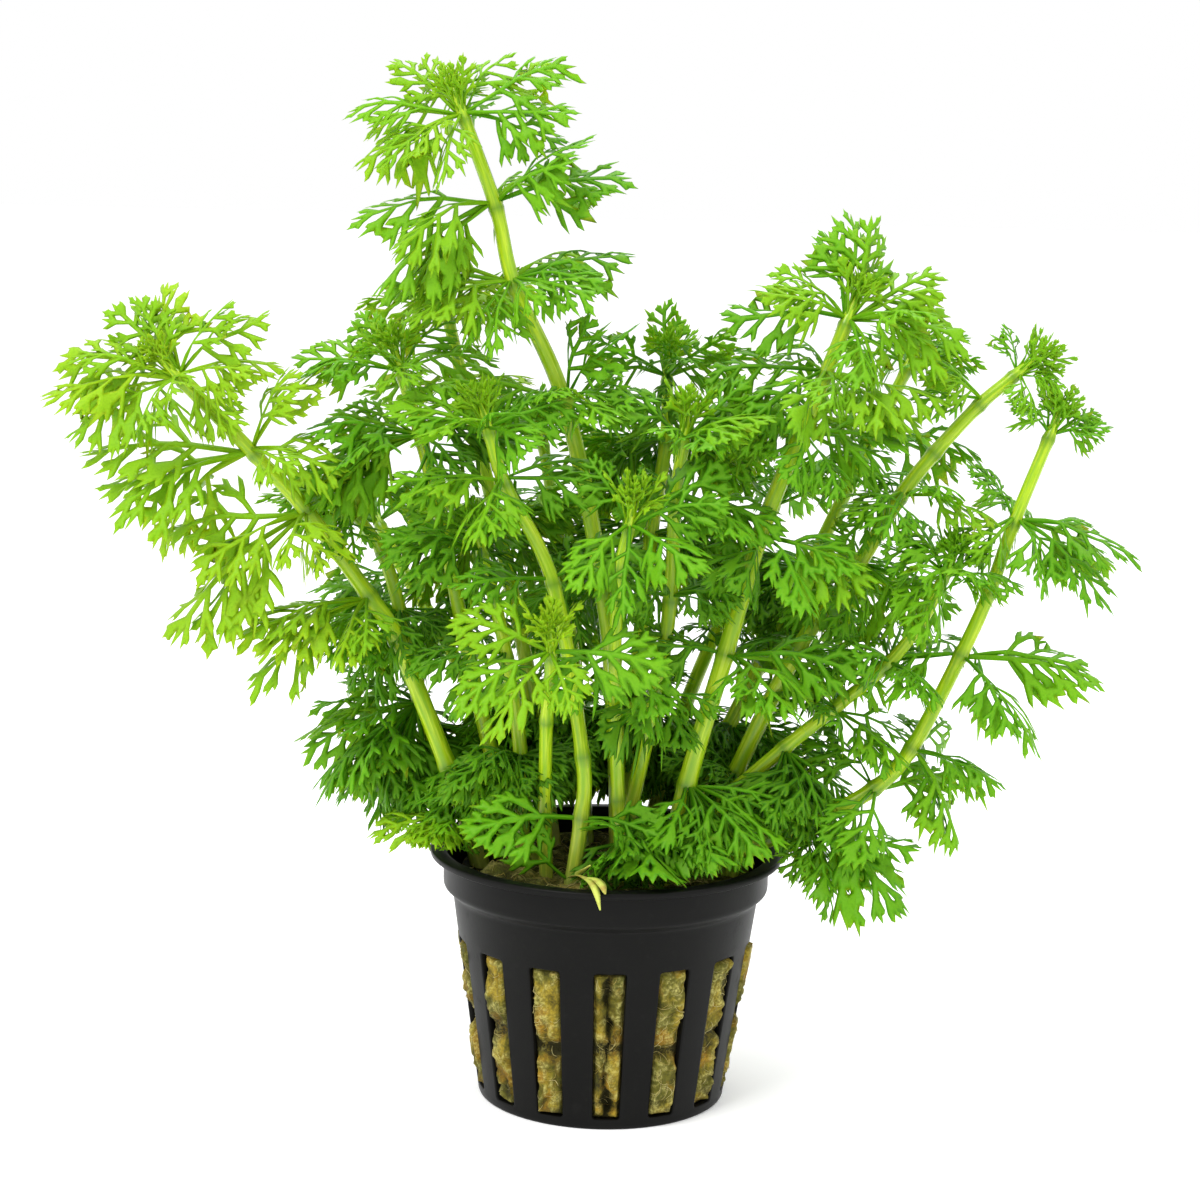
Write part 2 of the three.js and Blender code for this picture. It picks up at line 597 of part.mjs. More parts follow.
// Makes the slab round one leaf that keeps other leaves clear of it.
function leafClearance(leaf) {
  const { clear, above, below } = leafKind(leaf.length);
  const outline = leafOutline(leaf, clear, CLEARANCE);
  const count = outline.length;
  const points = [
    ...outline.map(([along, side]) => leafPoint(leaf, along, side, GAP)),
    ...outline.map(([along, side]) => leafPoint(leaf, along, side, -GAP)),
    leafPoint(leaf, LEAF_CENTRE, 0, above + GAP),
    leafPoint(leaf, LEAF_CENTRE, 0, -below - GAP),
  ];
  const triangles = outline.flatMap((_, i) => {
    const next = (i + 1) % count;
    return [
      [i, next, 2 * count],
      [count + next, count + i, 2 * count + 1],
      [next, i, count + i],
      [next, count + i, count + next],
    ];
  });
  return solidOf(facets(points, triangles));
}

// Joins a list of solids in one.
function joined(solids) {
  return solids.reduce((whole, solid) => whole.add(solid));
}

// Lists every piece of a shoot that bears leaves, each with the clearance that others keep from it.
function leafyPieces(shoot) {
  const lower = shoot.whorls.filter((whorl) => whorl.at < shoot.tip);
  const upper = shoot.whorls.filter((whorl) => whorl.at >= shoot.tip);
  const pieces = lower.map((whorl, i) => ({
    name: `whorl_${shoot.name}_${i + 1}`,
    leaves: whorlLeaves(shoot, whorl),
    core: (grow) => ringSolid(shoot, whorl.at, grow),
  }));
  pieces.push({
    name: `tip_${shoot.name}`,
    leaves: upper.flatMap((whorl) => whorlLeaves(shoot, whorl)),
    core: (grow) => tipStemSolid(shoot, grow),
  });
  return pieces.map(({ name, leaves, core }) => ({
    name,
    solid: joined([core(0), ...leaves.map(leafSolid)]),
    clearance: joined([core(GAP), ...leaves.map(leafClearance)]),
  }));
}

// Gives what is left of a piece's largest body after a cut.
function afterCut(solid, cutter) {
  const bodies = solid.subtract(cutter).decompose();
  return bodies.reduce((best, body) => (body.volume() > best.volume() ? body : best));
}

// Parts two leafy pieces that cross, by cutting the one that loses less.
function partCrossing(one, other) {
  if (one.solid.intersect(other.clearance).volume() === 0) return;
  const cutOne = afterCut(one.solid, other.clearance);
  const cutOther = afterCut(other.solid, one.clearance);
  const lossOne = one.solid.volume() - cutOne.volume();
  const lossOther = other.solid.volume() - cutOther.volume();
  if (lossOne < lossOther) {
    one.solid = cutOne;
  } else {
    other.solid = cutOther;
  }
}

// Builds the plant and its pot.
function build() {
  const group = new THREE.Group();
  const shoots = SHOOTS.map((shoot) => ({
    ...shoot,
    path: shoot.path.map((point) => new THREE.Vector3(...point)),
  }));
  const pot = potSolid();
  const stems = shoots.map((shoot) => stemSolid(shoot, 0));
  const stemClearance = joined(shoots.map((shoot) => stemSolid(shoot, GAP)));
  const wool = woolBody().subtract(stemClearance);
  group.add(meshOf('pot', pot, FINISHES.plastic), meshOf('rockwool', wool, FINISHES.rockwool));
  shoots.forEach((shoot, i) => group.add(meshOf(`stem_${shoot.name}`, stems[i], FINISHES.stem)));
  const pieces = shoots.flatMap(leafyPieces);
  for (const piece of pieces) {
    piece.solid = afterCut(piece.solid, stemClearance);
  }
  pieces.forEach((piece, i) => {
    for (const other of pieces.slice(i + 1)) {
      partCrossing(piece, other);
    }
  });
  pieces.forEach((piece) => group.add(meshOf(piece.name, piece.solid, FINISHES.leaf)));
  return group;
}

export default build();
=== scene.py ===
"""Dresses the potted ambulia: feathery leaves on pale stems, in rockwool in a slotted net pot.

Sizes are in millimetres until a mesh is made. +Z is up, +X to the right of the front view, -Y to the front.
"""
import logging
import math
from dataclasses import dataclass
from enum import Enum
from typing import Any, Iterable, Sequence

import bmesh
import bpy
import numpy as np
from mathutils import Matrix, Vector
from mathutils import noise as perlin
from mathutils.geometry import delaunay_2d_cdt


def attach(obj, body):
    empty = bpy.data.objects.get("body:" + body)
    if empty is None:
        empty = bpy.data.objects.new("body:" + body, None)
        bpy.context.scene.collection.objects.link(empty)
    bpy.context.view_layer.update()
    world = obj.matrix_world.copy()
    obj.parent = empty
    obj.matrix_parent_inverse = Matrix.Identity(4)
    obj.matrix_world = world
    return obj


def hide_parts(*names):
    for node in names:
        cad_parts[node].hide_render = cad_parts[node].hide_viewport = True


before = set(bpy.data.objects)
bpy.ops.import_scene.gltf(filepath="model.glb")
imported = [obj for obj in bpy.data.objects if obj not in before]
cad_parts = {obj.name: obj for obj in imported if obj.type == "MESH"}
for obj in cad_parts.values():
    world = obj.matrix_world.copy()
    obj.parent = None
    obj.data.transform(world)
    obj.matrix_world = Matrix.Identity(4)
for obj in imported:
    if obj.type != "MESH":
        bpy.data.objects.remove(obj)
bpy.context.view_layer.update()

MM = 0.001
BODY = "root"
LOG = logging.getLogger("ambulia")

Array = np.ndarray
Material = bpy.types.Material
Object = bpy.types.Object
Pair = tuple[float, float]
Triple = tuple[float, float, float]


class Slot(Enum):
    """The record's material slots."""

    PLASTIC = "plastic"
    WOOL = "rockwool"
    STEM = "stem"
    LEAF = "leaf"


# Shader maths


class Value:
    """A number socket of a shader, whose operators add the shader's Math nodes."""

    def __init__(self, shader: "Shader", socket: Any) -> None:
        """Keeps the shader and the socket."""
        self.shader = shader
        self.socket = socket

    def _math(self, operation: str, first: Any, second: Any, clamp: bool = False) -> "Value":
        """Adds a Math node and gives its result, kept from 0 to 1 where clamp says so."""
        made = self.shader.node("ShaderNodeMath", {"operation": operation, "use_clamp": clamp},
                                {0: first, 1: second})
        return Value(self.shader, made.outputs[0])

    def __add__(self, other: Any) -> "Value":
        """Adds."""
        return self._math("ADD", self, other)

    __radd__ = __add__

    def __sub__(self, other: Any) -> "Value":
        """Subtracts another value from this."""
        return self._math("SUBTRACT", self, other)

    def __rsub__(self, other: Any) -> "Value":
        """Subtracts this from another value."""
        return self._math("SUBTRACT", other, self)

    def __mul__(self, other: Any) -> "Value":
        """Multiplies."""
        return self._math("MULTIPLY", self, other)

    __rmul__ = __mul__

    def clamped(self) -> "Value":
        """Keeps the value from 0 to 1."""
        return self._math("ADD", self, 0.0, clamp=True)

    def band(self, low: float, high: float) -> "Value":
        """Gives a smooth step from 0 at low to 1 at high."""
        made = self.shader.node("ShaderNodeMapRange", {"interpolation_type": "SMOOTHSTEP"},
                                {0: self, 1: low, 2: high})
        return Value(self.shader, made.outputs[0])


class Shader:
    """One node material under construction."""

    # The Mix node's sockets for colours: its share, its two colours and its result
    MIX_SHARE, MIX_FIRST, MIX_SECOND, MIX_RESULT = 0, 6, 7, 2

    def __init__(self, name: str) -> None:
        """Starts an empty material with a name."""
        self.material = bpy.data.materials.new(name)
        self.material.use_nodes = True
        self.tree = self.material.node_tree
        self.tree.nodes.clear()

    def node(self, kind: str, settings: dict[str, Any] | None = None,
             values: dict[Any, Any] | None = None) -> Any:
        """Adds a node.

        Args:
            kind: the node's type.
            settings: its own settings.
            values: the values or links of its sockets, by name or number.

        Returns:
            The node.
        """
        made = self.tree.nodes.new(kind)
        for key, setting in (settings or {}).items():
            setattr(made, key, setting)
        for key, value in (values or {}).items():
            socket = made.inputs[key]
            if isinstance(value, Value):
                self.tree.links.new(value.socket, socket)
            elif isinstance(value, bpy.types.NodeSocket):
                self.tree.links.new(value, socket)
            elif socket.type == "RGBA":
                socket.default_value = (*value, 1.0)
            else:
                socket.default_value = value
        return made

    def noise(self, place: Any, scale: float, detail: float = 3.0, roughness: float = 0.55) -> Value:
        """Gives a noise about 0.5 over a place, with its levels of detail and the share of each finer one."""
        made = self.node("ShaderNodeTexNoise", None,
                         {"Vector": place, "Scale": scale, "Detail": detail, "Roughness": roughness})
        return Value(self, made.outputs["Fac"])

    def place(self) -> Any:
        """Gives the object's own coordinates, in metres."""
        return self.node("ShaderNodeTexCoord").outputs["Object"]

    def mark(self, name: str) -> Value:
        """Gives a number kept on the mesh's points."""
        return Value(self, self.node("ShaderNodeAttribute", {"attribute_name": name}).outputs["Fac"])

    def mark_vector(self, name: str) -> Any:
        """Gives a vector kept on the mesh's points."""
        return self.node("ShaderNodeAttribute", {"attribute_name": name}).outputs["Vector"]

    def mix(self, share: Any, first: Any, second: Any) -> Any:
        """Mixes two colours by the share of the second."""
        made = self.node("ShaderNodeMix", {"data_type": "RGBA"},
                         {self.MIX_SHARE: share, self.MIX_FIRST: first, self.MIX_SECOND: second})
        return made.outputs[self.MIX_RESULT]

    def bump(self, height: Value, bump: Pair) -> Any:
        """Gives a surface direction bent by a height.

        Args:
            height: the height over the surface.
            bump: the bump's strength, and the height that a value of 1 stands for, in metres.

        Returns:
            The direction's socket.
        """
        strength, distance = bump
        made = self.node("ShaderNodeBump", None,
                         {"Strength": strength, "Distance": distance, "Height": height})
        return made.outputs["Normal"]

    def surface(self, values: dict[str, Any]) -> Material:
        """Ends the material in one surface shader.

        Args:
            values: the values or links of the shader's sockets.

        Returns:
            The material.
        """
        made = self.node("ShaderNodeBsdfPrincipled", None, values)
        self.node("ShaderNodeOutputMaterial", None, {"Surface": made.outputs[0]})
        return self.material


# Finishes: scales are of noise over metres, bands are where a noise starts and ends a patch, and a bump is its
# strength and its height in metres. A roughness is the plain one, then what each noise adds to it.


@dataclass(frozen=True)
class PotPlastic:
    """Charcoal moulded plastic with a satin surface, faint flow marks and light scuffs."""

    dark: Triple = (0.003, 0.003, 0.0027)
    worn: Triple = (0.011, 0.011, 0.01)
    flow_scale: float = 90.0
    grain_scale: float = 2600.0
    scuff_scale: float = 420.0
    scuff_band: Pair = (0.56, 0.72)
    flow_wear: float = 0.35
    scuff_wear: float = 0.3
    roughness: Triple = (0.34, 0.12, 0.1)
    gloss: float = 0.1
    flow_height: float = 0.5
    bump: Pair = (0.12, 0.0001)

    def material(self) -> Material:
        """Builds the material.

        Returns:
            The material.
        """
        shader = Shader("pot_plastic")
        place = shader.place()
        flow = shader.noise(place, self.flow_scale, 2.0)
        scuff = shader.noise(place, self.scuff_scale, 5.0, 0.65).band(*self.scuff_band)
        grain = shader.noise(place, self.grain_scale, 2.0)
        colour = shader.mix(flow * self.flow_wear + scuff * self.scuff_wear, self.dark, self.worn)
        plain, by_flow, by_scuff = self.roughness
        return shader.surface({
            "Base Color": colour,
            "Roughness": plain + flow * by_flow + scuff * by_scuff,
            "Specular IOR Level": self.gloss,
            "Normal": shader.bump(grain + flow * self.flow_height, self.bump),
        })


@dataclass(frozen=True)
class RockwoolFelt:
    """Wet olive-brown rockwool with yellow and orange patches and fine fibres, darkened by painted shade in
    its folds and gaps and paled by a painted highlight on its crests.
    """

    # The deep colour is the painted shade in the folds, the seam and the gaps.
    deep: Triple = (0.03, 0.027, 0.006)
    olive: Triple = (0.145, 0.135, 0.014)
    yellow: Triple = (0.39, 0.29, 0.025)
    orange: Triple = (0.45, 0.22, 0.013)
    pale: Triple = (0.6, 0.55, 0.17)
    moss: Triple = (0.06, 0.075, 0.008)
    patch_scale: float = 150.0
    warm_scale: float = 240.0
    tangle_scale: float = 2400.0
    patch_band: Pair = (0.42, 0.6)
    warm_band: Pair = (0.5, 0.66)
    crest_band: Pair = (0.4, 0.6)
    gap_band: Pair = (0.6, 0.42)
    warmth: float = 0.7
    moss_least: float = 0.75
    moss_patches: float = 0.5
    crest_least: float = 0.45
    crest_paleness: float = 0.85
    gap_shade: float = 0.35
    roughness: Pair = (0.6, 0.3)
    gloss: float = 0.2
    patch_height: float = 0.4
    bump: Pair = (0.7, 0.0006)

    def material(self) -> Material:
        """Builds the material.

        Returns:
            The material.
        """
        shader = Shader("rockwool_felt")
        place = shader.place()
        patch = shader.noise(place, self.patch_scale, 4.0, 0.6)
        warm = shader.noise(place, self.warm_scale).band(*self.warm_band)
        tangle = shader.noise(place, self.tangle_scale, 4.0, 0.7)
        depth = shader.mark("hollow")
        colour = shader.mix(patch.band(*self.patch_band), self.olive, self.yellow)
        colour = shader.mix(warm * self.warmth, colour, self.orange)
        mossy = shader.mark("moss") * (patch * self.moss_patches + self.moss_least)
        colour = shader.mix(mossy.clamped(), colour, self.moss)
        # Painted highlight: the crests of the folds turn pale.
        crest = shader.mark("crest") * (tangle.band(*self.crest_band) + self.crest_least)
        colour = shader.mix(crest.clamped() * self.crest_paleness, colour, self.pale)
        # Painted shade: the plug's shade mark and the tangle's gaps darken the wool to the deep colour.
        painted_shade = depth + tangle.band(*self.gap_band) * self.gap_shade
        colour = shader.mix(painted_shade.clamped(), colour, self.deep)
        plain, by_tangle = self.roughness
        return shader.surface({
            "Base Color": colour,
            "Roughness": plain + tangle * by_tangle,
            "Specular IOR Level": self.gloss,
            "Normal": shader.bump(tangle + patch * self.patch_height, self.bump),
        })


@dataclass(frozen=True)
class WoolFibre:
    """Pale mineral fibres, some clean and some stained."""

    pale: Triple = (0.6, 0.52, 0.2)
    stained: Triple = (0.3, 0.22, 0.03)
    stain_scale: float = 700.0
    stain_patches: float = 0.6
    stain_fibres: float = 0.6
    stain_band: Pair = (0.35, 0.85)
    roughness: Pair = (0.45, 0.3)

    def material(self) -> Material:
        """Builds the material.

        Returns:
            The material.
        """
        shader = Shader("wool_fibre")
        patches = shader.noise(shader.place(), self.stain_scale, 2.0) * self.stain_patches
        stain = (patches + shader.mark("stain") * self.stain_fibres).band(*self.stain_band)
        plain, by_stain = self.roughness
        return shader.surface({
            "Base Color": shader.mix(stain, self.pale, self.stained),
            "Roughness": plain + stain * by_stain,
        })


@dataclass(frozen=True)
class StemSkin:
    """Pale green translucent stem with fine lines along it, darker at its nodes and browner at its foot."""

    fresh: Triple = (0.26, 0.48, 0.004)
    pale: Triple = (0.55, 0.7, 0.018)
    node: Triple = (0.1, 0.24, 0.005)
    foot: Triple = (0.42, 0.34, 0.13)
    line_scale: float = 2.4
    blotch_scale: float = 260.0
    line_band: Pair = (0.35, 0.68)
    blotch_band: Pair = (0.55, 0.75)
    line_paleness: float = 0.8
    blotch_green: float = 0.35
    node_shade: float = 0.75
    foot_least: float = 0.35
    foot_blotches: float = 0.9
    roughness: Pair = (0.2, 0.12)
    gloss: float = 0.4
    bump: Pair = (0.25, 0.0003)
    glow: float = 0.35
    glow_radius: Triple = (0.8, 1.0, 0.3)
    glow_depth: float = 0.0012

    def material(self) -> Material:
        """Builds the material.

        Returns:
            The material.
        """
        shader = Shader("stem_skin")
        lines = shader.noise(shader.mark_vector("round"), self.line_scale, 3.0, 0.5)
        blotch = shader.noise(shader.place(), self.blotch_scale)
        colour = shader.mix(lines.band(*self.line_band) * self.line_paleness, self.fresh, self.pale)
        colour = shader.mix(blotch.band(*self.blotch_band) * self.blotch_green, colour, self.fresh)
        colour = shader.mix(shader.mark("node") * self.node_shade, colour, self.node)
        browned = shader.mark("foot") * (self.foot_least + blotch * self.foot_blotches)
        colour = shader.mix(browned.clamped(), colour, self.foot)
        plain, by_lines = self.roughness
        return shader.surface({
            "Base Color": colour,
            "Roughness": plain + lines * by_lines,
            "Specular IOR Level": self.gloss,
            "Normal": shader.bump(lines, self.bump),
            "Subsurface Weight": self.glow,
            "Subsurface Radius": self.glow_radius,
            "Subsurface Scale": self.glow_depth,
        })


@dataclass(frozen=True)
class LeafSkin:
    """Soft green leaf, paler along its midribs and below, yellower where it is young, and darker deep in the
    bush, where a painted shade lowers its fresh mark.
    """

    deep: Triple = (0.007, 0.088, 0.0004)
    bright: Triple = (0.066, 0.3, 0.0015)
    young: Triple = (0.29, 0.47, 0.005)
    rib: Triple = (0.22, 0.45, 0.015)
    below: Triple = (0.08, 0.26, 0.008)
    spent: Triple = (0.3, 0.24, 0.03)
    cloud_scale: float = 190.0
    cell_scale: float = 2600.0
    cell_band: Pair = (0.45, 0.7)
    spent_band: Pair = (0.68, 0.8)
    freshness: float = 1.7
    bright_from: float = 0.2
    bright_clouds: float = 0.4
    young_from: float = 0.95
    young_clouds: float = 0.3
    below_paleness: float = 0.35
    rib_paleness: float = 0.4
    cell_shade: float = 0.16
    spent_tips: float = 0.5
    roughness: Pair = (0.4, 0.16)
    gloss: float = 0.13
    bump: Pair = (0.3, 0.00012)
    glow: float = 0.25
    glow_radius: Triple = (0.7, 1.0, 0.1)
    glow_depth: float = 0.0009

    def material(self) -> Material:
        """Builds the material.

        Returns:
            The material.
        """
        shader = Shader("leaf_skin")
        place = shader.place()
        cloud = shader.noise(place, self.cloud_scale)
        cells = shader.noise(place, self.cell_scale, 3.0, 0.6)
        # Painted shade: the fresh mark is lowered deep in the bush, so those leaves take the deep green.
        fresh = shader.mark("fresh")
        bright = fresh * self.freshness + cloud * self.bright_clouds - self.bright_from
        colour = shader.mix(bright.clamped(), self.deep, self.bright)
        young = fresh * self.freshness - self.young_from + cloud * self.young_clouds
        colour = shader.mix(young.clamped(), colour, self.young)
        colour = shader.mix(shader.mark("below") * self.below_paleness, colour, self.below)
        colour = shader.mix(shader.mark("rib") * self.rib_paleness, colour, self.rib)
        colour = shader.mix(cells.band(*self.cell_band) * self.cell_shade, colour, self.deep)
        spent = cloud.band(*self.spent_band) * self.spent_tips * shader.mark("reach")
        colour = shader.mix(spent.clamped(), colour, self.spent)
        plain, by_cells = self.roughness
        return shader.surface({
            "Base Color": colour,
            "Roughness": plain + cells * by_cells,
            "Specular IOR Level": self.gloss,
            "Normal": shader.bump(cells, self.bump),
            "Subsurface Weight": self.glow,
            "Subsurface Radius": self.glow_radius,
            "Subsurface Scale": self.glow_depth,
        })


@dataclass(frozen=True)
class SproutSkin:
    """A fading scrap of leaf, pale yellow-green with brown specks."""

    straw: Triple = (0.55, 0.62, 0.1)
    brown: Triple = (0.4, 0.3, 0.05)
    stain_scale: float = 420.0
    stain_band: Pair = (0.42, 0.66)
    roughness: Pair = (0.5, 0.3)
    bump: Pair = (0.4, 0.0003)

    def material(self) -> Material:
        """Builds the material.

        Returns:
            The material.
        """
        shader = Shader("sprout_skin")
        stain = shader.noise(shader.place(), self.stain_scale, 4.0, 0.65)
        plain, by_stain = self.roughness
        return shader.surface({
            "Base Color": shader.mix(stain.band(*self.stain_band), self.straw, self.brown),
            "Roughness": plain + stain * by_stain,
            "Normal": shader.bump(stain, self.bump),
        })


@dataclass(frozen=True)
class StudioFloor:
    """A plain pale floor."""

    colour: Triple = (0.985, 0.985, 0.985)
    cloudy: Triple = (0.97, 0.97, 0.97)
    white: Triple = (1.0, 1.0, 1.0)
    cloud_scale: float = 3.0
    clouds: float = 0.1
    roughness: float = 0.8
    light: float = 0.15

    def material(self) -> Material:
        """Builds the material.

        Returns:
            The material.
        """
        shader = Shader("studio_floor")
        cloud = shader.noise(shader.place(), self.cloud_scale, 2.0)
        return shader.surface({
            "Base Color": shader.mix(cloud * self.clouds, self.colour, self.cloudy),
            "Roughness": self.roughness,
            "Emission Color": self.white,
            "Emission Strength": self.light,
        })


# Meshes


class Shape:
    """Points, faces and point marks that grow into one mesh."""

    def __init__(self) -> None:
        """Starts an empty shape."""
        self.points: list[Array] = []
        self.faces: list[tuple[Array, int]] = []
        self.marks: list[dict[str, Array]] = []
        self.count = 0

    def add(self, points: Array, faces: Array, finish: int = 0, **marks: Any) -> None:
        """Adds points and the faces between them.

        Args:
            points: the points, in millimetres.
            faces: rows of point numbers, three or four a face.
            finish: the number of the faces' material.
            marks: numbers or vectors kept on the points.
        """
        points = np.asarray(points, float).reshape(-1, 3)
        self.faces.append((np.asarray(faces, int) + self.count, finish))
        self.points.append(points)
        self.marks.append({name: np.broadcast_to(mark, (len(points), 3)[:max(np.ndim(mark), 1)])
                           for name, mark in marks.items()})
        self.count += len(points)

    def add_rings(self, rings: Array, finish: int = 0, **marks: Any) -> Array:
        """Adds closed rings of as many points each, with faces from each to the next.

        Args:
            rings: the points, ring by ring, in millimetres.
            finish: the number of the faces' material.
            marks: numbers or vectors kept on the points.

        Returns:
            The points' numbers, ring by ring.
        """
        rows, columns = rings.shape[:2]
        grid = np.arange(rows * columns).reshape(rows, columns)
        faces = np.stack([grid[:-1], np.roll(grid[:-1], -1, 1), np.roll(grid[1:], -1, 1), grid[1:]], -1)
        numbers = grid + self.count
        self.add(rings, faces.reshape(-1, 4), finish, **marks)
        return numbers

    def close(self, ring: Array, centre: Sequence[float], below: bool = False, **marks: Any) -> None:
        """Closes a ring with triangles round one more point.

        Args:
            ring: the numbers of the ring's points.
            centre: the point, in millimetres.
            below: whether the triangles face against the way that the rings rise.
            marks: numbers or vectors kept on the point.
        """
        following = np.roll(ring, -1)
        sides = (following, ring) if below else (ring, following)
        self.faces.append((np.stack([*sides, np.full(len(ring), self.count)], 1), 0))
        self.add(np.array([centre]), np.zeros((0, 3), int), **marks)

    def cap(self, rings: Array, finish: int = 0) -> None:
        """Closes the first and the last ring, given by their points' numbers, with one face each."""
        self.faces.append((np.array([rings[0][::-1], rings[-1]]), finish))

    def mesh(self, name: str, materials: Sequence[Material], merge: float = 0.0,
             crease: float | None = None) -> Object:
        """Makes the piece.

        Args:
            name: the piece's name.
            materials: its materials, in the order of their numbers.
            merge: the distance below which points become one, in millimetres.
            crease: the angle above which an edge is sharp, in degrees.

        Returns:
            The object, in place in the scene.
        """
        made = bpy.data.meshes.new(name)
        points = np.concatenate(self.points) * MM
        corners = np.concatenate([rows.ravel() for rows, _ in self.faces])
        sizes = np.concatenate([np.full(len(rows), rows.shape[1]) for rows, _ in self.faces])
        finishes = np.concatenate([np.full(len(rows), finish) for rows, finish in self.faces])
        made.vertices.add(len(points))
        made.vertices.foreach_set("co", points.ravel())
        made.loops.add(len(corners))
        made.loops.foreach_set("vertex_index", corners)
        made.polygons.add(len(sizes))
        made.polygons.foreach_set("loop_start", np.concatenate([[0], np.cumsum(sizes)[:-1]]))
        made.polygons.foreach_set("material_index", finishes)
        self._keep_marks(made)
        made.update(calc_edges=True)
        if merge > 0:
            self._merge(made, merge * MM)
        made.polygons.foreach_set("use_smooth", np.ones(len(made.polygons), bool))
        if crease is not None:
            made.set_sharp_from_angle(angle=math.radians(crease))
        for material in materials:
            made.materials.append(material)
        piece = bpy.data.objects.new(name, made)
        bpy.context.scene.collection.objects.link(piece)
        return piece

    def _keep_marks(self, made: bpy.types.Mesh) -> None:
        """Writes the point marks on the mesh.

        Args:
            made: the mesh.
        """
        for name in sorted({name for marks in self.marks for name in marks}):
            wide = any(marks[name].ndim == 2 for marks in self.marks if name in marks)
            blank = (lambda count: np.zeros((count, 3))) if wide else np.zeros
            rows = [marks.get(name, blank(len(points))) for marks, points in zip(self.marks, self.points)]
            kind, key = ("FLOAT_VECTOR", "vector") if wide else ("FLOAT", "value")
            layer = made.attributes.new(name, kind, "POINT")
            layer.data.foreach_set(key, np.concatenate(rows).astype(np.float32).ravel())

    @staticmethod
    def _merge(made: bpy.types.Mesh, distance: float) -> None:
        """Joins points that lie together.

        Args:
            made: the mesh.
            distance: how near to each other they lie, in metres.
        """
        work = bmesh.new()
        work.from_mesh(made)
        bmesh.ops.remove_doubles(work, verts=work.verts, dist=distance)
        bmesh.ops.recalc_face_normals(work, faces=work.faces)
        work.to_mesh(made)
        work.free()


def place(piece: Object, slot: Slot, nodes: Iterable[str]) -> None:
    """Puts a piece on the body in place of its CAD nodes.

    Args:
        piece: the piece.
        slot: the record's material slot; not used.
        nodes: the CAD nodes that it stands for.
    """
    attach(piece, BODY)
    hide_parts(*nodes)
    LOG.info("%s: %d faces", piece.name, len(piece.data.polygons))


def unit(vector: Array) -> Array:
    """Gives the vectors' directions."""
    return vector / np.linalg.norm(vector, axis=-1, keepdims=True)


def heading(azimuth: float, rise: float) -> Array:
    """Gives the direction of an azimuth and a rise, in degrees."""
    turn, lean = math.radians(azimuth), math.radians(rise)
    return np.array([math.cos(lean) * math.cos(turn), math.cos(lean) * math.sin(turn), math.sin(lean)])


def tube(points: Array, along: Array, first: Array, girth: Array, turn: Array) -> Array:
    """Gives rings of points round a line.

    Args:
        points: the line's points.
        along: the line's direction at each.
        first: the direction across the line in which each ring starts.
        girth: each ring's radius, or the radius of each of its points.
        turn: the angles of a ring's points.

    Returns:
        The points, ring by ring.
    """
    second = np.cross(along, first)
    ring = first[:, None] * np.cos(turn)[:, None] + second[:, None] * np.sin(turn)[:, None]
    return points[:, None] + ring * girth[:, :, None]


# Leaves

# Where a lobe is widest, how fast it narrows from there, and the least half width of its tip
LOBE_WIDEST = 0.5
LOBE_TAPER = 1.7
LOBE_TIP = 0.03
# A distance past any within a leaf
FAR = 9.0


@dataclass
class Lobe:
    """A curved tapered lobe: the points of its midrib and its half width at each."""

    points: Array
    halves: Array

    @staticmethod
    def grown(start: Array, heading: float, length: float, bend: float, halves: Pair, steps: int) -> "Lobe":
        """Grows a lobe that is widest half way and ends in a point.

        Args:
            start: its root.
            heading: its direction at the root, in radians.
            length: its length.
            bend: how far it turns on the way, in radians.
            halves: its half width at the root and at the widest place.
            steps: the number of its segments.

        Returns:
            The lobe.
        """
        shares = np.arange(steps + 1) / steps
        headings = heading + bend * shares[1:]
        moves = np.stack([np.cos(headings), np.sin(headings)], 1) * length / steps
        points = np.concatenate([[start], start + np.cumsum(moves, 0)])
        root, wide = halves
        swell = root + (wide - root) * np.minimum(shares / LOBE_WIDEST, 1)
        taper = 1 - (np.clip(shares - LOBE_WIDEST, 0, 1) / LOBE_WIDEST) ** LOBE_TAPER
        return Lobe(points, np.maximum(swell * taper, LOBE_TIP))

    def at(self, share: float) -> tuple[Array, float]:
        """Gives a place on the midrib.

        Args:
            share: how far along it, from 0 to 1.

        Returns:
            The point and the heading there.
        """
        place_on = share * (len(self.points) - 1)
        index = min(int(place_on), len(self.points) - 2)
        step = self.points[index + 1] - self.points[index]
        return self.points[index] + step * (place_on - index), math.atan2(step[1], step[0])


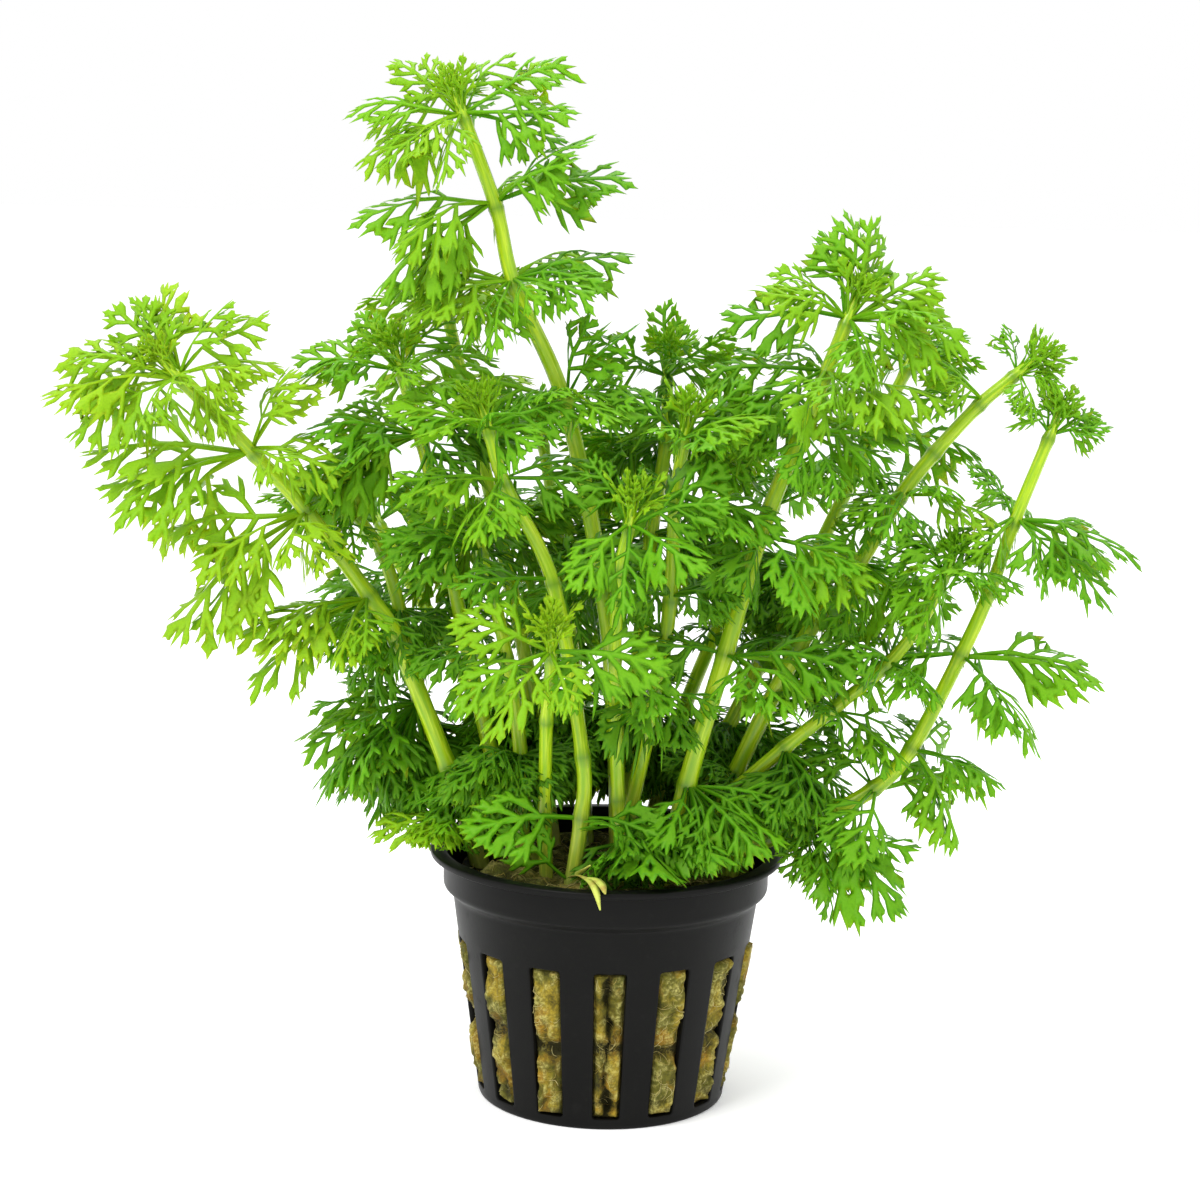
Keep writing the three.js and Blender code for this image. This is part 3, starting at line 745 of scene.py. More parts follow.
@dataclass
class LobeField:
    """The signed distance to a set of lobes that run together where they meet."""

    lobes: list[Lobe]
    web: float = 0.2
    step: float = 0.11
    margin: float = 1.2
    reach: float = 1.6
    outside: float = 3.0

    def __post_init__(self) -> None:
        """Works the distance out on a grid round the lobes."""
        points = np.concatenate([lobe.points for lobe in self.lobes])
        self.low = points.min(0) - self.margin
        counts = np.ceil((points.max(0) + self.margin - self.low) / self.step).astype(int) + 1
        self.xs = self.low[0] + self.step * np.arange(counts[0])
        self.ys = self.low[1] + self.step * np.arange(counts[1])
        self.grid = np.full((counts[1], counts[0]), self.outside)
        for lobe in self.lobes:
            self._blend(lobe)

    def _blend(self, lobe: Lobe) -> None:
        """Runs one lobe into the grid.

        Args:
            lobe: the lobe.
        """
        x0, y0 = np.maximum((lobe.points.min(0) - self.reach - self.low) / self.step, 0).astype(int)
        x1, y1 = ((lobe.points.max(0) + self.reach - self.low) / self.step).astype(int) + 1
        x, y = np.meshgrid(self.xs[x0:x1], self.ys[y0:y1])
        near = np.full(x.shape, FAR)
        for p, q, wide, narrow in zip(lobe.points, lobe.points[1:], lobe.halves, lobe.halves[1:]):
            way = q - p
            share = np.clip(((x - p[0]) * way[0] + (y - p[1]) * way[1]) / (way @ way), 0, 1)
            off = np.hypot(x - p[0] - share * way[0], y - p[1] - share * way[1])
            near = np.minimum(near, off - wide - (narrow - wide) * share)
        old = self.grid[y0:y1, x0:x1]
        share = np.clip(0.5 + 0.5 * (old - near) / self.web, 0, 1)
        self.grid[y0:y1, x0:x1] = old * (1 - share) + near * share - self.web * share * (1 - share)

    def depth(self, points: Array) -> Array:
        """Gives how deep inside the outline points lie.

        Args:
            points: the points.

        Returns:
            Each point's depth.
        """
        at = (points - self.low) / self.step
        index = np.clip(at.astype(int), 0, np.array(self.grid.shape[::-1]) - 2)
        fx, fy = (at - index).T
        x, y = index.T
        grid = self.grid
        low = grid[y, x] * (1 - fx) + grid[y, x + 1] * fx
        high = grid[y + 1, x] * (1 - fx) + grid[y + 1, x + 1] * fx
        return -(low * (1 - fy) + high * fy)

    def rib_distances(self, points: Array) -> Array:
        """Gives the distance from points to each lobe's midrib.

        Args:
            points: the points.

        Returns:
            The distances, a row for each point and a column for each lobe.
        """
        found = np.full((len(points), len(self.lobes)), FAR)
        for i, lobe in enumerate(self.lobes):
            for p, q in zip(lobe.points, lobe.points[1:]):
                way = q - p
                share = np.clip((points - p) @ way / (way @ way), 0, 1)
                off = np.linalg.norm(points - p - share[:, None] * way, axis=1)
                found[:, i] = np.minimum(found[:, i], off)
        return found

    def outlines(self) -> list[Array]:
        """Lists the closed outlines of the lobes, each with the inside on its left.

        Returns:
            The lines' points.
        """
        inside = self.grid < 0
        follows: dict[tuple[int, int, int], tuple[int, int, int]] = {}
        # Each grid square has a code from its corners inside: 1, 2, 4 and 8 from its low corner round
        code = inside[:-1, :-1] * 1 + inside[:-1, 1:] * 2 + inside[1:, 1:] * 4 + inside[1:, :-1] * 8
        for y, x in zip(*np.nonzero((code > 0) & (code < 15))):
            bottom, right, top, left = (x, y, 0), (x + 1, y, 1), (x, y + 1, 0), (x, y, 1)
            sides = {1: ((bottom, left),), 2: ((right, bottom),), 3: ((right, left),), 4: ((top, right),),
                     5: ((bottom, left), (top, right)), 6: ((top, bottom),), 7: ((top, left),),
                     8: ((left, top),), 9: ((bottom, top),), 10: ((right, bottom), (left, top)),
                     11: ((right, top),), 12: ((left, right),), 13: ((bottom, right),),
                     14: ((left, bottom),)}[int(code[y, x])]
            for start, end in sides:
                follows[start] = end
        lines = []
        while follows:
            start, here = follows.popitem()
            line = [start]
            while here != start:
                line.append(here)
                here = follows.pop(here)
            lines.append(np.array([self._crossing(*edge) for edge in line]))
        return lines

    def _crossing(self, x: int, y: int, upright: int) -> Array:
        """Gives the point where the outline crosses an edge of the grid.

        Args:
            x: the column of the edge's low end.
            y: its row.
            upright: 1 where the edge is upright, and 0 where it is level.

        Returns:
            The point.
        """
        first = self.grid[y, x]
        second = self.grid[y + upright, x + 1 - upright]
        share = first / (first - second)
        return np.array([self.xs[x] + (1 - upright) * share * self.step,
                         self.ys[y] + upright * share * self.step])


def thinned(line: Array, slack: float) -> Array:
    """Drops the points of a closed line that it does without.

    Args:
        line: the closed line's points.
        slack: how far the new line may pass from a dropped point.

    Returns:
        The points that are left.
    """
    far = int(np.argmax(np.linalg.norm(line - line[0], axis=1)))
    kept = {0, far}
    spans = [(0, far), (far, len(line))]
    while spans:
        a, b = spans.pop()
        if b - a < 2:
            continue
        p, q = line[a], line[b % len(line)]
        inner = line[a + 1:b] - p
        way = q - p
        off = np.abs(inner[:, 0] * way[1] - inner[:, 1] * way[0]) / max(np.hypot(*way), 1e-9)
        worst = int(np.argmax(off))
        if off[worst] > slack:
            split = a + 1 + worst
            kept.add(split)
            spans += [(a, split), (split, b)]
    return line[sorted(kept)]


def within(points: Array, lines: Sequence[Array]) -> Array:
    """Tells which points lie inside closed lines.

    Args:
        points: the points.
        lines: the closed lines.

    Returns:
        True for each point inside.
    """
    odd = np.zeros(len(points), bool)
    x, y = points.T
    for line in lines:
        for (ax, ay), (bx, by) in zip(line, np.roll(line, -1, axis=0)):
            if ay != by:
                odd ^= ((ay > y) != (by > y)) & (x < (bx - ax) * (y - ay) / (by - ay) + ax)
    return odd


@dataclass
class LeafPattern:
    """A feathery leaf laid flat, 20 mm long, thickest along its midribs, whose lobes bend on their own.

    A row is a pair of side lobes: its place on the midrib, its spread in radians and its length as a share of
    the leaf's, then the place and the length of each pair of its twigs.
    """

    seed: int
    rows: tuple[tuple[float, float, float, tuple[Pair, ...]], ...]
    size: float = 20.0
    stalk: float = 0.4
    wing: float = 0.4
    lobe_halves: Pair = (0.3, 0.52)
    twig_halves: Pair = (0.26, 0.5)
    slack: float = 0.12
    blend: float = 0.6
    steps: int = 4
    twig_steps: int = 3
    wander: float = 0.22
    row_stagger: float = 0.035
    row_jitter: float = 0.012
    spread_range: Pair = (0.9, 1.12)
    length_range: Pair = (0.86, 1.12)
    lobe_bend: float = 0.5
    twig_gaps: float = 0.12
    twig_stagger: float = 0.1
    twig_spread: float = 0.78
    twig_spread_range: Pair = (0.85, 1.15)
    twig_length_range: Pair = (0.82, 1.2)
    inner_twig: float = 0.85
    twig_bend: float = 0.45
    rib_end: float = 0.7
    rib_depth: float = 0.06
    snap: float = 1e-5
    edge_slope: float = 0.35
    stalk_share: float = 0.28
    upper_heights: Pair = (0.13, 0.2)
    lower_heights: Pair = (0.15, 0.25)
    rib_half: float = 0.16

    def __post_init__(self) -> None:
        """Grows the lobes and meshes both sides of the leaf."""
        self.random = np.random.default_rng(self.seed)
        self.groups = [0]
        self.field = LobeField(self._lobes())
        lines = [thinned(line, self.slack) for line in self.field.outlines()]
        edges = [line for line in lines if len(line) > 3]
        top, faces = self._triangles(edges)
        count = sum(len(line) for line in edges)
        below = np.where(faces < count, faces, faces + len(top) - count)
        self.flat = np.concatenate([top, top[count:]])
        self.faces = np.concatenate([faces, below[:, ::-1]])
        self._raise(len(top), count)

    def _lobes(self) -> list[Lobe]:
        """Grows the midrib, its side lobes and their twigs, and numbers the family of each.

        Returns:
            The lobes, the midrib first.
        """
        draw = self.random.uniform
        steps = 2 * self.steps + 2
        shares = np.arange(steps + 1) / steps
        turns = draw(-self.wander, self.wander) * np.sin(math.pi * shares[1:])
        moves = np.stack([np.cos(turns), np.sin(turns)], 1) * self.size / steps
        spine = np.concatenate([[[0.0, 0.0]], np.cumsum(moves, 0)])
        stalk, wing = self.stalk, self.wing
        halves = np.interp(shares, [0, 0.25, 0.45, 0.84, 0.92, 1],
                           [stalk, stalk, wing, wing, 1.3 * wing, 0.04])
        lobes = [Lobe(spine, halves)]
        for share, spread, length, twigs in self.rows:
            for side in (1, -1):
                stagger = self.row_stagger if side < 0 else 0
                root, heading = lobes[0].at(share + stagger + draw(-self.row_jitter, self.row_jitter))
                turn = side * spread * draw(*self.spread_range)
                lobe = Lobe.grown(root, heading + turn, length * self.size * draw(*self.length_range),
                                  -side * self.lobe_bend, self.lobe_halves, self.steps)
                family = [lobe] + self._twigs(lobe, side, twigs)
                lobes += family
                self.groups += [max(self.groups) + 1] * len(family)
        return lobes

    def _twigs(self, lobe: Lobe, side: int, twigs: tuple[Pair, ...]) -> list[Lobe]:
        """Grows the twigs of a side lobe.

        Args:
            lobe: the side lobe.
            side: 1 where it grows to the left, and -1 to the right.
            twigs: the place and the length of each pair, as shares.

        Returns:
            The twigs.
        """
        draw = self.random.uniform
        found = []
        for share, length in twigs:
            for turn in (1, -1):
                if draw() < self.twig_gaps:
                    continue
                root, heading = lobe.at(share + (self.twig_stagger if turn != side else 0))
                reach = length * self.size * draw(*self.twig_length_range)
                reach *= 1 if turn == side else self.inner_twig
                lean = turn * self.twig_spread * draw(*self.twig_spread_range)
                found.append(Lobe.grown(root, heading + lean, reach, -turn * self.twig_bend,
                                        self.twig_halves, self.twig_steps))
        return found

    def _triangles(self, lines: Sequence[Array]) -> tuple[Array, Array]:
        """Fills the outline with triangles that keep the lines and the midribs as edges.

        Args:
            lines: the closed lines.

        Returns:
            The points, the lines' own first, and the triangles.
        """
        points: list[Array] = []
        links: list[tuple[int, int]] = []
        for line in lines:
            links += [(len(points) + i, len(points) + (i + 1) % len(line)) for i in range(len(line))]
            points += list(line)
        for lobe in self.field.lobes:
            rib = lobe.points.copy()
            rib[-1] = rib[-2] + (rib[-1] - rib[-2]) * self.rib_end
            rib = rib[self.field.depth(rib) > self.rib_depth]
            links += [(len(points) + i, len(points) + i + 1) for i in range(len(rib) - 1)]
            points += list(rib)
        made, _, faces, origins, _, _ = delaunay_2d_cdt([Vector(p) for p in points], links, [], 0, self.snap)
        found = np.array([tuple(v) for v in made])
        # Points given come in the order in which they were given, and points made at crossings after them
        order = sorted(range(len(found)), key=lambda i: min(origins[i], default=len(points) + i))
        rank = np.empty(len(order), int)
        rank[order] = np.arange(len(order))
        triangles = rank[np.array([tuple(face) for face in faces])]
        found = found[order]
        return found, triangles[within(found[triangles].mean(1), lines)]

    def _raise(self, top_count: int, edge_count: int) -> None:
        """Sets the height of each point, its marks and its share of each side lobe.

        Args:
            top_count: the number of points on the upper side, edge included.
            edge_count: the number of points on the edge.
        """
        near = self.field.rib_distances(self.flat)
        deep = np.minimum(np.maximum(self.field.depth(self.flat), 0) / self.edge_slope, 1)
        deep[:edge_count] = 0
        stalk = np.clip(1 - self.flat[:, 0] / (self.stalk_share * self.size), 0, 1) ** 0.5
        low = slice(top_count, None)
        plain, at_stalk = self.upper_heights
        self.heights = (plain + at_stalk * stalk) * deep
        plain, at_stalk = self.lower_heights
        self.heights[low] = -(plain + at_stalk * stalk[low]) * deep[low]
        self.rib = np.clip(1 - near.min(1) / self.rib_half, 0, 1)
        self.rib[:edge_count] = 0
        self.below = np.zeros(len(self.flat))
        self.below[low] = 1
        self.reach = np.clip(self.flat[:, 0] / self.size, 0, 1)
        self.off = near[:, 0] / self.size
        groups = np.array(self.groups)
        nearest = np.stack([near[:, groups == i].min(1) for i in range(groups.max() + 1)], 1)
        weights = np.exp(-(nearest / self.blend) ** 2) + 1e-9
        self.shares = weights / weights.sum(1, keepdims=True)


GROWN_ROWS = (
    (0.3, 1.05, 0.47, ((0.28, 0.2), (0.56, 0.14))),
    (0.47, 0.98, 0.41, ((0.32, 0.17), (0.6, 0.11))),
    (0.64, 0.88, 0.31, ((0.42, 0.12),)),
    (0.8, 0.78, 0.2, ((0.48, 0.06),)),
)
BROAD_ROWS = (
    (0.3, 1.0, 0.48, ((0.28, 0.2), (0.54, 0.15))),
    (0.48, 0.9, 0.41, ((0.32, 0.17), (0.6, 0.11))),
    (0.66, 0.8, 0.3, ((0.44, 0.12),)),
    (0.82, 0.7, 0.17, ()),
)
PLAIN_ROWS = (
    (0.3, 1.08, 0.42, ((0.42, 0.22),)),
    (0.5, 0.98, 0.35, ((0.48, 0.17),)),
    (0.68, 0.88, 0.26, ((0.5, 0.12),)),
    (0.83, 0.8, 0.16, ()),
)
YOUNG_ROWS = (
    (0.34, 0.9, 0.36, ((0.5, 0.14),)),
    (0.58, 0.8, 0.25, ()),
    (0.78, 0.7, 0.14, ()),
)


class LeafKind(Enum):
    """The ways in which a leaf is cut."""

    GROWN = "finely cut"
    BROAD = "broad lobes"
    YOUNG = "young"
    PLAIN = "finely cut, seen only between others"


@dataclass
class Leaf:
    """A leaf in place: its base, its directions, its length and how young it looks, less a painted shade where
    it lies deep in the bush.
    """

    base: Array
    way: Array
    face: Array
    length: float
    fresh: float
    droop: float = 0.1
    kind: LeafKind = LeafKind.GROWN

    @property
    def side(self) -> Array:
        """Gives the direction to the leaf's left."""
        return np.cross(self.way, self.face)


@dataclass
class LeafPress:
    """A stock of leaf patterns, pressed on to leaves in place and kept clear of the pot.

    The least and the most of a leaf's bends are of its fold, twist, sway, wave, the wave's start and its hang.
    """

    stock: dict[LeafKind, list[LeafPattern]]
    mouth: float = 23.0
    mouth_edge: float = 3.0
    bed: float = 37.2
    rim_radius: float = 27.7
    rim_top: float = 40.3
    drape: float = 2.2
    lift: float = 0.75
    lift_from: float = 0.3
    least_bends: tuple[float, ...] = (-0.3, -0.4, -0.12, 0.01, 0, 0.1)
    most_bends: tuple[float, ...] = (0.25, 0.4, 0.12, 0.025, 6.3, 0.9)
    lobe_slopes: Pair = (-0.65, 0.25)
    curls: Pair = (0.2, 1.6)
    arch: float = 0.07
    waves_along: float = 7.0
    waves_across: float = 9.0
    thickness: Pair = (0.45, 0.55)

    @staticmethod
    def stocked() -> "LeafPress":
        """Makes the patterns of each kind, each from its own seed.

        Returns:
            The press.
        """
        return LeafPress({
            LeafKind.GROWN: [LeafPattern(11 + i, GROWN_ROWS) for i in range(5)],
            LeafKind.BROAD: [LeafPattern(41 + i, BROAD_ROWS, wing=0.5, lobe_halves=(0.36, 0.64),
                                         twig_halves=(0.3, 0.6)) for i in range(3)],
            LeafKind.YOUNG: [LeafPattern(71 + i, YOUNG_ROWS, lobe_halves=(0.5, 0.9), twig_halves=(0.4, 0.7),
                                         slack=0.2, steps=3) for i in range(2)],
            LeafKind.PLAIN: [LeafPattern(91 + i, PLAIN_ROWS, lobe_halves=(0.36, 0.56), slack=0.2, steps=3,
                                         twig_halves=(0.32, 0.54)) for i in range(3)],
        })

    def _clear(self, points: Array, along: Array) -> Array:
        """Lifts a leaf off the rockwool and the pot's rim, most at its tip, so that it hangs over the rim.

        Args:
            points: the leaf's points.
            along: how far each is along the leaf, from 0 to 1.

        Returns:
            The points.
        """
        radius = np.hypot(points[:, 0], points[:, 1])
        z = points[:, 2]
        lowest = np.interp(radius, (self.mouth - self.mouth_edge, self.mouth, self.rim_radius),
                           (self.bed, self.rim_top, self.rim_top))
        lowest -= self.drape * np.maximum(radius - self.rim_radius, 0)
        leaning = np.clip(along, self.lift_from, 1) ** 1.5
        z = z + self.lift * max(0.0, float(((lowest - z) / leaning).max())) * leaning
        return np.column_stack([points[:, :2], np.maximum(z, lowest)])

    def press(self, shape: Shape, leaf: Leaf, random: np.random.Generator) -> None:
        """Adds one leaf to a shape.

        Args:
            shape: the shape.
            leaf: the leaf.
            random: the source of its curl and pattern.
        """
        stock = self.stock[leaf.kind]
        pattern = stock[int(random.integers(len(stock)))]
        flip = 1 if random.uniform() < 0.5 else -1
        fold, twist, sway, wave, start, hang = random.uniform(self.least_bends, self.most_bends)
        slopes = random.uniform(*self.lobe_slopes, pattern.shares.shape[1])
        slopes[0] = 0
        curl = random.uniform(*self.curls)
        along = pattern.flat[:, 0] / pattern.size
        side = flip * pattern.flat[:, 1] / pattern.size + sway * along * along
        waves = np.sin(self.waves_along * along + self.waves_across * side + start)
        lift = (self.arch * 4 * along * (1 - along) + fold * np.abs(side) + twist * side * along
                + (pattern.shares @ slopes) * pattern.off - curl * pattern.off ** 2
                + wave * waves * np.minimum(4 * along, 1)) * leaf.length
        points = (leaf.base + np.outer(along * leaf.length, leaf.way)
                  + np.outer(side * leaf.length, leaf.side)
                  + np.outer(lift, leaf.face))
        points[:, 2] -= (leaf.droop * along * along + hang * side * side) * leaf.length
        least, by_size = self.thickness
        points = self._clear(points, along) + np.outer(
            pattern.heights * (least + by_size * (leaf.length / pattern.size)), leaf.face)
        faces = pattern.faces if flip > 0 else pattern.faces[:, ::-1]
        shape.add(points, faces, fresh=leaf.fresh, rib=pattern.rib, below=pattern.below, reach=pattern.reach)


# Shoots


@dataclass(frozen=True)
class Whorl:
    """Leaves round a point of a shoot, each with its azimuth, rise and length."""

    at: int
    leaves: tuple[Triple, ...]


@dataclass(frozen=True)
class Shoot:
    """A shoot: its stem's radii, the point where its tip begins, how fresh it is, its path and whorls."""

    name: str
    girth: Pair
    tip: int
    fresh: float
    path: tuple[Triple, ...]
    whorls: tuple[Whorl, ...]


# The shoots repeat the paths and the leaves that the source gives to its stems, whorls and tips
SHOOTS = (
    Shoot("tall", (1.5, 1.05), 2, 0.58,
          ((2, 1, 33), (1, 0, 56), (-1.5, -1, 80), (-8, -2, 109), (-16, -1, 126.5), (-19, 0, 138),
           (-24, 1, 151)),
          (Whorl(2, ((200, -5, 15), (300, -5, 14), (60, 10, 15), (130, 5, 15))),
           Whorl(3, ((192, 6, 19), (330, 50, 18), (292, -5, 16), (345, 12, 16))),
           Whorl(4, ((355, 14, 19), (312, -4, 18), (187, -4, 19), (222, -14, 18), (265, -35, 15),
                     (60, 15, 18))),
           Whorl(5, ((350, 12, 21), (345, 38, 19), (184, -6, 21), (196, -28, 22), (205, -44, 17),
                     (80, 15, 18))),
           Whorl(6, ((350, 24, 19), (188, -22, 17), (178, 4, 17), (160, 38, 15), (60, 50, 14), (335, -4, 18),
                     (262, -35, 15), (100, 10, 16))))),
    Shoot("front", (1.35, 1.0), 4, 0.55,
          ((-5, -13, 33), (-5, -13.5, 37.5), (-4, -14, 47.5), (-4, -14, 57), (-9, -12.5, 83),
           (-16.5, -11, 97.5), (-19, -10, 105)),
          (Whorl(1, ((202, 30, 14), (300, 12, 9))),
           Whorl(2, ((198, 8, 18), (340, 10, 14))),
           Whorl(4, ((205, 5, 16), (0, 20, 15))),
           Whorl(5, ((200, 0, 17), (255, -25, 16), (345, -5, 16))),
           Whorl(6, ((350, 20, 15), (300, 0, 15), (235, 5, 16), (185, 20, 16))))),
    Shoot("low_front", (1.15, 0.9), 4, 0.75,
          ((-9, -9, 33), (-9.5, -12, 48), (-9.5, -17, 63), (-9, -21, 70), (-9, -23, 74)),
          (Whorl(4, ((211, -20, 17), (243, -34, 17), (285, -30, 13), (187, 22, 16), (347, 6, 18))),)),
    Shoot("front_centre", (1.2, 0.9), 2, 0.6,
          ((3, -12, 33), (1.5, -12, 50), (0.5, -14, 72), (1, -16, 86), (2, -17, 92)),
          (Whorl(2, ((230, -15, 15), (312, -18, 15))),
           Whorl(4, ((12, 42, 18), (345, 20, 16), (318, -12, 16), (272, -42, 16), (222, -22, 15),
                     (140, 60, 13))))),
    Shoot("mid_left", (1.25, 0.95), 1, 0.3,
          ((-13, -5, 33), (-13.5, -5, 54), (-16, -5, 70), (-18, -5, 79), (-20, -5, 86)),
          (Whorl(1, ((215, -5, 15), (265, -20, 13), (330, 5, 13))),
           Whorl(2, ((212, 0, 17), (252, -22, 16))),
           Whorl(4, ((195, 15, 16), (232, -5, 16), (285, -10, 13))))),
    Shoot("far_left", (1.65, 1.1), 6, 0.78,
          ((-19, 1, 33), (-22, 0, 44), (-25, -1, 52), (-33, -1, 71.5), (-37.5, -1, 78.5), (-47, -2, 91.5),
           (-55, -2, 100), (-66, -2, 111)),
          (Whorl(1, ((200, -8, 14), (235, -6, 12))),
           Whorl(4, ((187, -30, 21), (195, -10, 20), (250, -30, 15))),
           Whorl(5, ((187, -35, 26), (183, -10, 21), (262, -18, 16), (75, 25, 16))),
           Whorl(6, ((187, -20, 23), (179, 4, 26), (352, 48, 19), (338, 2, 16))),
           Whorl(7, ((180, 2, 20), (165, 22, 19), (190, -24, 18), (150, 50, 17), (110, 66, 17), (0, 42, 18),
                     (352, 8, 16), (330, -24, 14), (255, -20, 15))))),
    Shoot("left", (1.35, 1.0), 3, 0.38,
          ((-15, 8, 33), (-24.5, 8, 46), (-30, 8, 60), (-33, 7, 74), (-36, 6, 84), (-40, 5, 90)),
          (Whorl(2, ((187, -16, 19), (219, -36, 20), (240, -58, 16), (120, 0, 16))),
           Whorl(3, ((190, -10, 16), (240, -25, 15), (120, 0, 16), (335, -10, 12))),
           Whorl(5, ((190, 12, 15), (145, 20, 14), (105, 10, 16), (60, 25, 14), (255, -25, 13))))),
    Shoot("upper_left", (1.35, 1.0), 1, 0.48,
          ((-10, 3, 33), (-17.5, 4, 50), (-23, 4, 72), (-26, 4, 86), (-30, 4, 102), (-33, 3, 112)),
          (Whorl(1, ((190, -15, 15), (250, -20, 14), (120, 0, 15), (330, 0, 13))),
           Whorl(2, ((110, 10, 15),)),
           Whorl(3, ((30, 5, 14),)),
           Whorl(4, ((194, -12, 20), (335, -4, 17), (170, 10, 15))),
           Whorl(5, ((178, 12, 17), (215, 5, 16), (268, 0, 15), (10, 20, 15), (60, 42, 14), (130, 40, 14))))),
    Shoot("back_left", (1.4, 1.0), 1, 0.8,
          ((-8, 12, 33), (-12, 15, 58), (-18, 17, 85), (-24, 18, 108), (-27, 18, 120)),
          (Whorl(1, ((190, -15, 16), (250, -30, 15), (320, -15, 15), (120, 0, 16))),
           Whorl(2, ((90, 0, 18), (150, -5, 18), (20, 25, 15))),
           Whorl(3, ((60, 0, 17), (110, 0, 17), (165, 0, 17))),
           Whorl(4, ((182, 8, 14), (135, 15, 15), (80, 20, 15), (20, 24, 16), (330, 12, 15), (250, 0, 14))))),
    Shoot("centre", (1.35, 1.0), 3, 0.5,
          ((1.5, -6, 33), (3.2, -7, 45.5), (7, -8.5, 66), (8.7, -8, 80), (9, -8, 95), (10, -8, 104)),
          (Whorl(1, ((282, -14, 22), (302, -10, 21))),
           Whorl(2, ((240, -14, 16), (295, -20, 13))),
           Whorl(3, ((20, 10, 14), (225, 10, 12), (320, 10, 14))),
           Whorl(4, ((305, -10, 17), (350, -5, 17), (240, 20, 13))),
           Whorl(5, ((325, 20, 16), (10, 28, 16), (280, 5, 14), (195, 28, 14))))),
    Shoot("right", (1.6, 1.1), 4, 0.5,
          ((8.5, -8, 33), (12, -9.5, 52), (17.2, -10, 72.5), (22, -8, 90.5), (27.4, -5, 105), (31, -4, 114),
           (34, -3, 122)),
          (Whorl(1, ((315, -22, 17), (277, -32, 15))),
           Whorl(2, ((345, 0, 20), (308, -18, 18), (200, 8, 14))),
           Whorl(3, ((300, -26, 18), (335, -10, 18), (250, -22, 14))),
           Whorl(4, ((345, 0, 16), (215, 0, 13), (270, -25, 15), (60, 30, 15), (130, 10, 15))),
           Whorl(5, ((352, -10, 19), (305, -20, 17), (245, -16, 17), (186, -4, 18), (130, 10, 15))),
           Whorl(6, ((352, 6, 18), (15, 28, 17), (183, 5, 19), (165, 42, 14), (30, 66, 18), (100, 78, 18),
                     (320, 10, 15), (280, -35, 14))))),
    Shoot("right_curl", (1.5, 1.0), 3, 0.42,
          ((14, 3, 33), (20, 3, 51), (29, 1, 71.5), (37.5, 1, 84.5), (43.5, 0, 95.5), (48.5, 0, 102.5),
           (55, 0, 110), (60, 0, 114.5)),
          (Whorl(1, ((320, -5, 13), (40, -10, 13), (230, 20, 12))),
           Whorl(2, ((320, 0, 14), (90, 0, 17))),
           Whorl(3, ((320, -35, 16), (0, -20, 16), (90, 0, 16), (200, -30, 15), (250, -35, 15))),
           Whorl(4, ((330, -5, 15), (80, 5, 17), (250, -14, 15), (195, -30, 13))),
           Whorl(6, ((168, 40, 13), (200, 5, 12))),
           Whorl(7, ((115, 60, 9), (20, 35, 8), (345, -5, 7), (290, -42, 9))))),
    Shoot("far_right", (1.5, 1.0), 8, 0.35,
          ((18, -3, 33), (21, -4, 40), (25, -4.5, 42.6), (31, -5, 45), (41, -5, 51), (46.5, -5, 57.5),
           (53.5, -4, 72), (57.5, -3, 81.5), (61, -1, 92), (66, 1, 105)),
          (Whorl(3, ((285, -34, 13), (330, -18, 19), (40, -15, 15))),
           Whorl(4, ((30, 0, 14), (160, 30, 13), (250, -30, 15))),
           Whorl(5, ((342, -62, 15), (338, -6, 14), (80, -8, 16))),
           Whorl(6, ((352, -7, 21), (318, -38, 18), (160, -20, 14), (75, -5, 17))),
           Whorl(8, ((352, -6, 19), (336, -34, 19), (180, 55, 13), (215, -24, 15), (80, 5, 17),
                     (295, -40, 15))),
           Whorl(9, ((340, 6, 9), (20, 26, 9), (80, 60, 8), (190, 40, 9))))),
    Shoot("mid_right", (1.35, 0.95), 5, 0.32,
          ((10, -1, 33), (14, -2, 43.5), (20, -3, 50), (27, -3, 56.5), (34.5, -3, 63), (42, -4, 70),
           (47, -5, 77), (50, -6, 84)),
          (Whorl(3, ((265, -35, 15), (310, -40, 15), (10, -32, 14))),
           Whorl(4, ((260, 10, 14), (110, 10, 15), (330, -25, 14))),
           Whorl(5, ((300, -10, 14), (240, 20, 14), (100, 20, 15))),
           Whorl(7, ((205, 30, 14), (255, 5, 15), (300, 5, 14), (130, 40, 13), (240, -30, 14))))),
    Shoot("back_centre", (1.4, 1.0), 1, 0.4,
          ((3, 9, 33), (4, 15, 60), (6, 21, 85), (8, 24, 100), (8, 25, 110)),
          (Whorl(1, ((325, -30, 12), (265, -30, 15), (90, 0, 16))),
           Whorl(2, ((40, -5, 18), (130, -5, 18), (340, 0, 14))),
           Whorl(3, ((10, 0, 17), (85, 0, 17), (175, 0, 17))),
           Whorl(4, ((350, 24, 17), (35, 30, 15), (100, 70, 14), (195, 30, 17), (280, 20, 14),
                     (260, -25, 17))))),
    Shoot("back_right", (1.4, 1.0), 1, 0.32,
          ((9, 12, 33), (19, 16, 55), (31, 20, 80), (41, 22, 102), (46, 22, 113)),
          (Whorl(1, ((0, -10, 16), (285, -35, 12), (230, -10, 14), (80, 0, 16))),
           Whorl(2, ((20, -5, 17), (90, -5, 18), (165, 0, 16), (225, -25, 15))),
           Whorl(3, ((345, -5, 17), (60, -5, 17), (240, -25, 18))),
           Whorl(4, ((345, 6, 12), (50, 20, 15), (110, 25, 15), (185, 25, 14), (290, 5, 12))))),
    Shoot("back", (1.4, 1.0), 1, 0.3,
          ((-3, 15, 33), (-5, 24, 55), (-8, 33, 76), (-10, 38, 87), (-12, 42, 97)),
          (Whorl(1, ((200, -20, 15), (280, -30, 15), (345, -20, 11), (90, 0, 16), (140, 0, 16))),
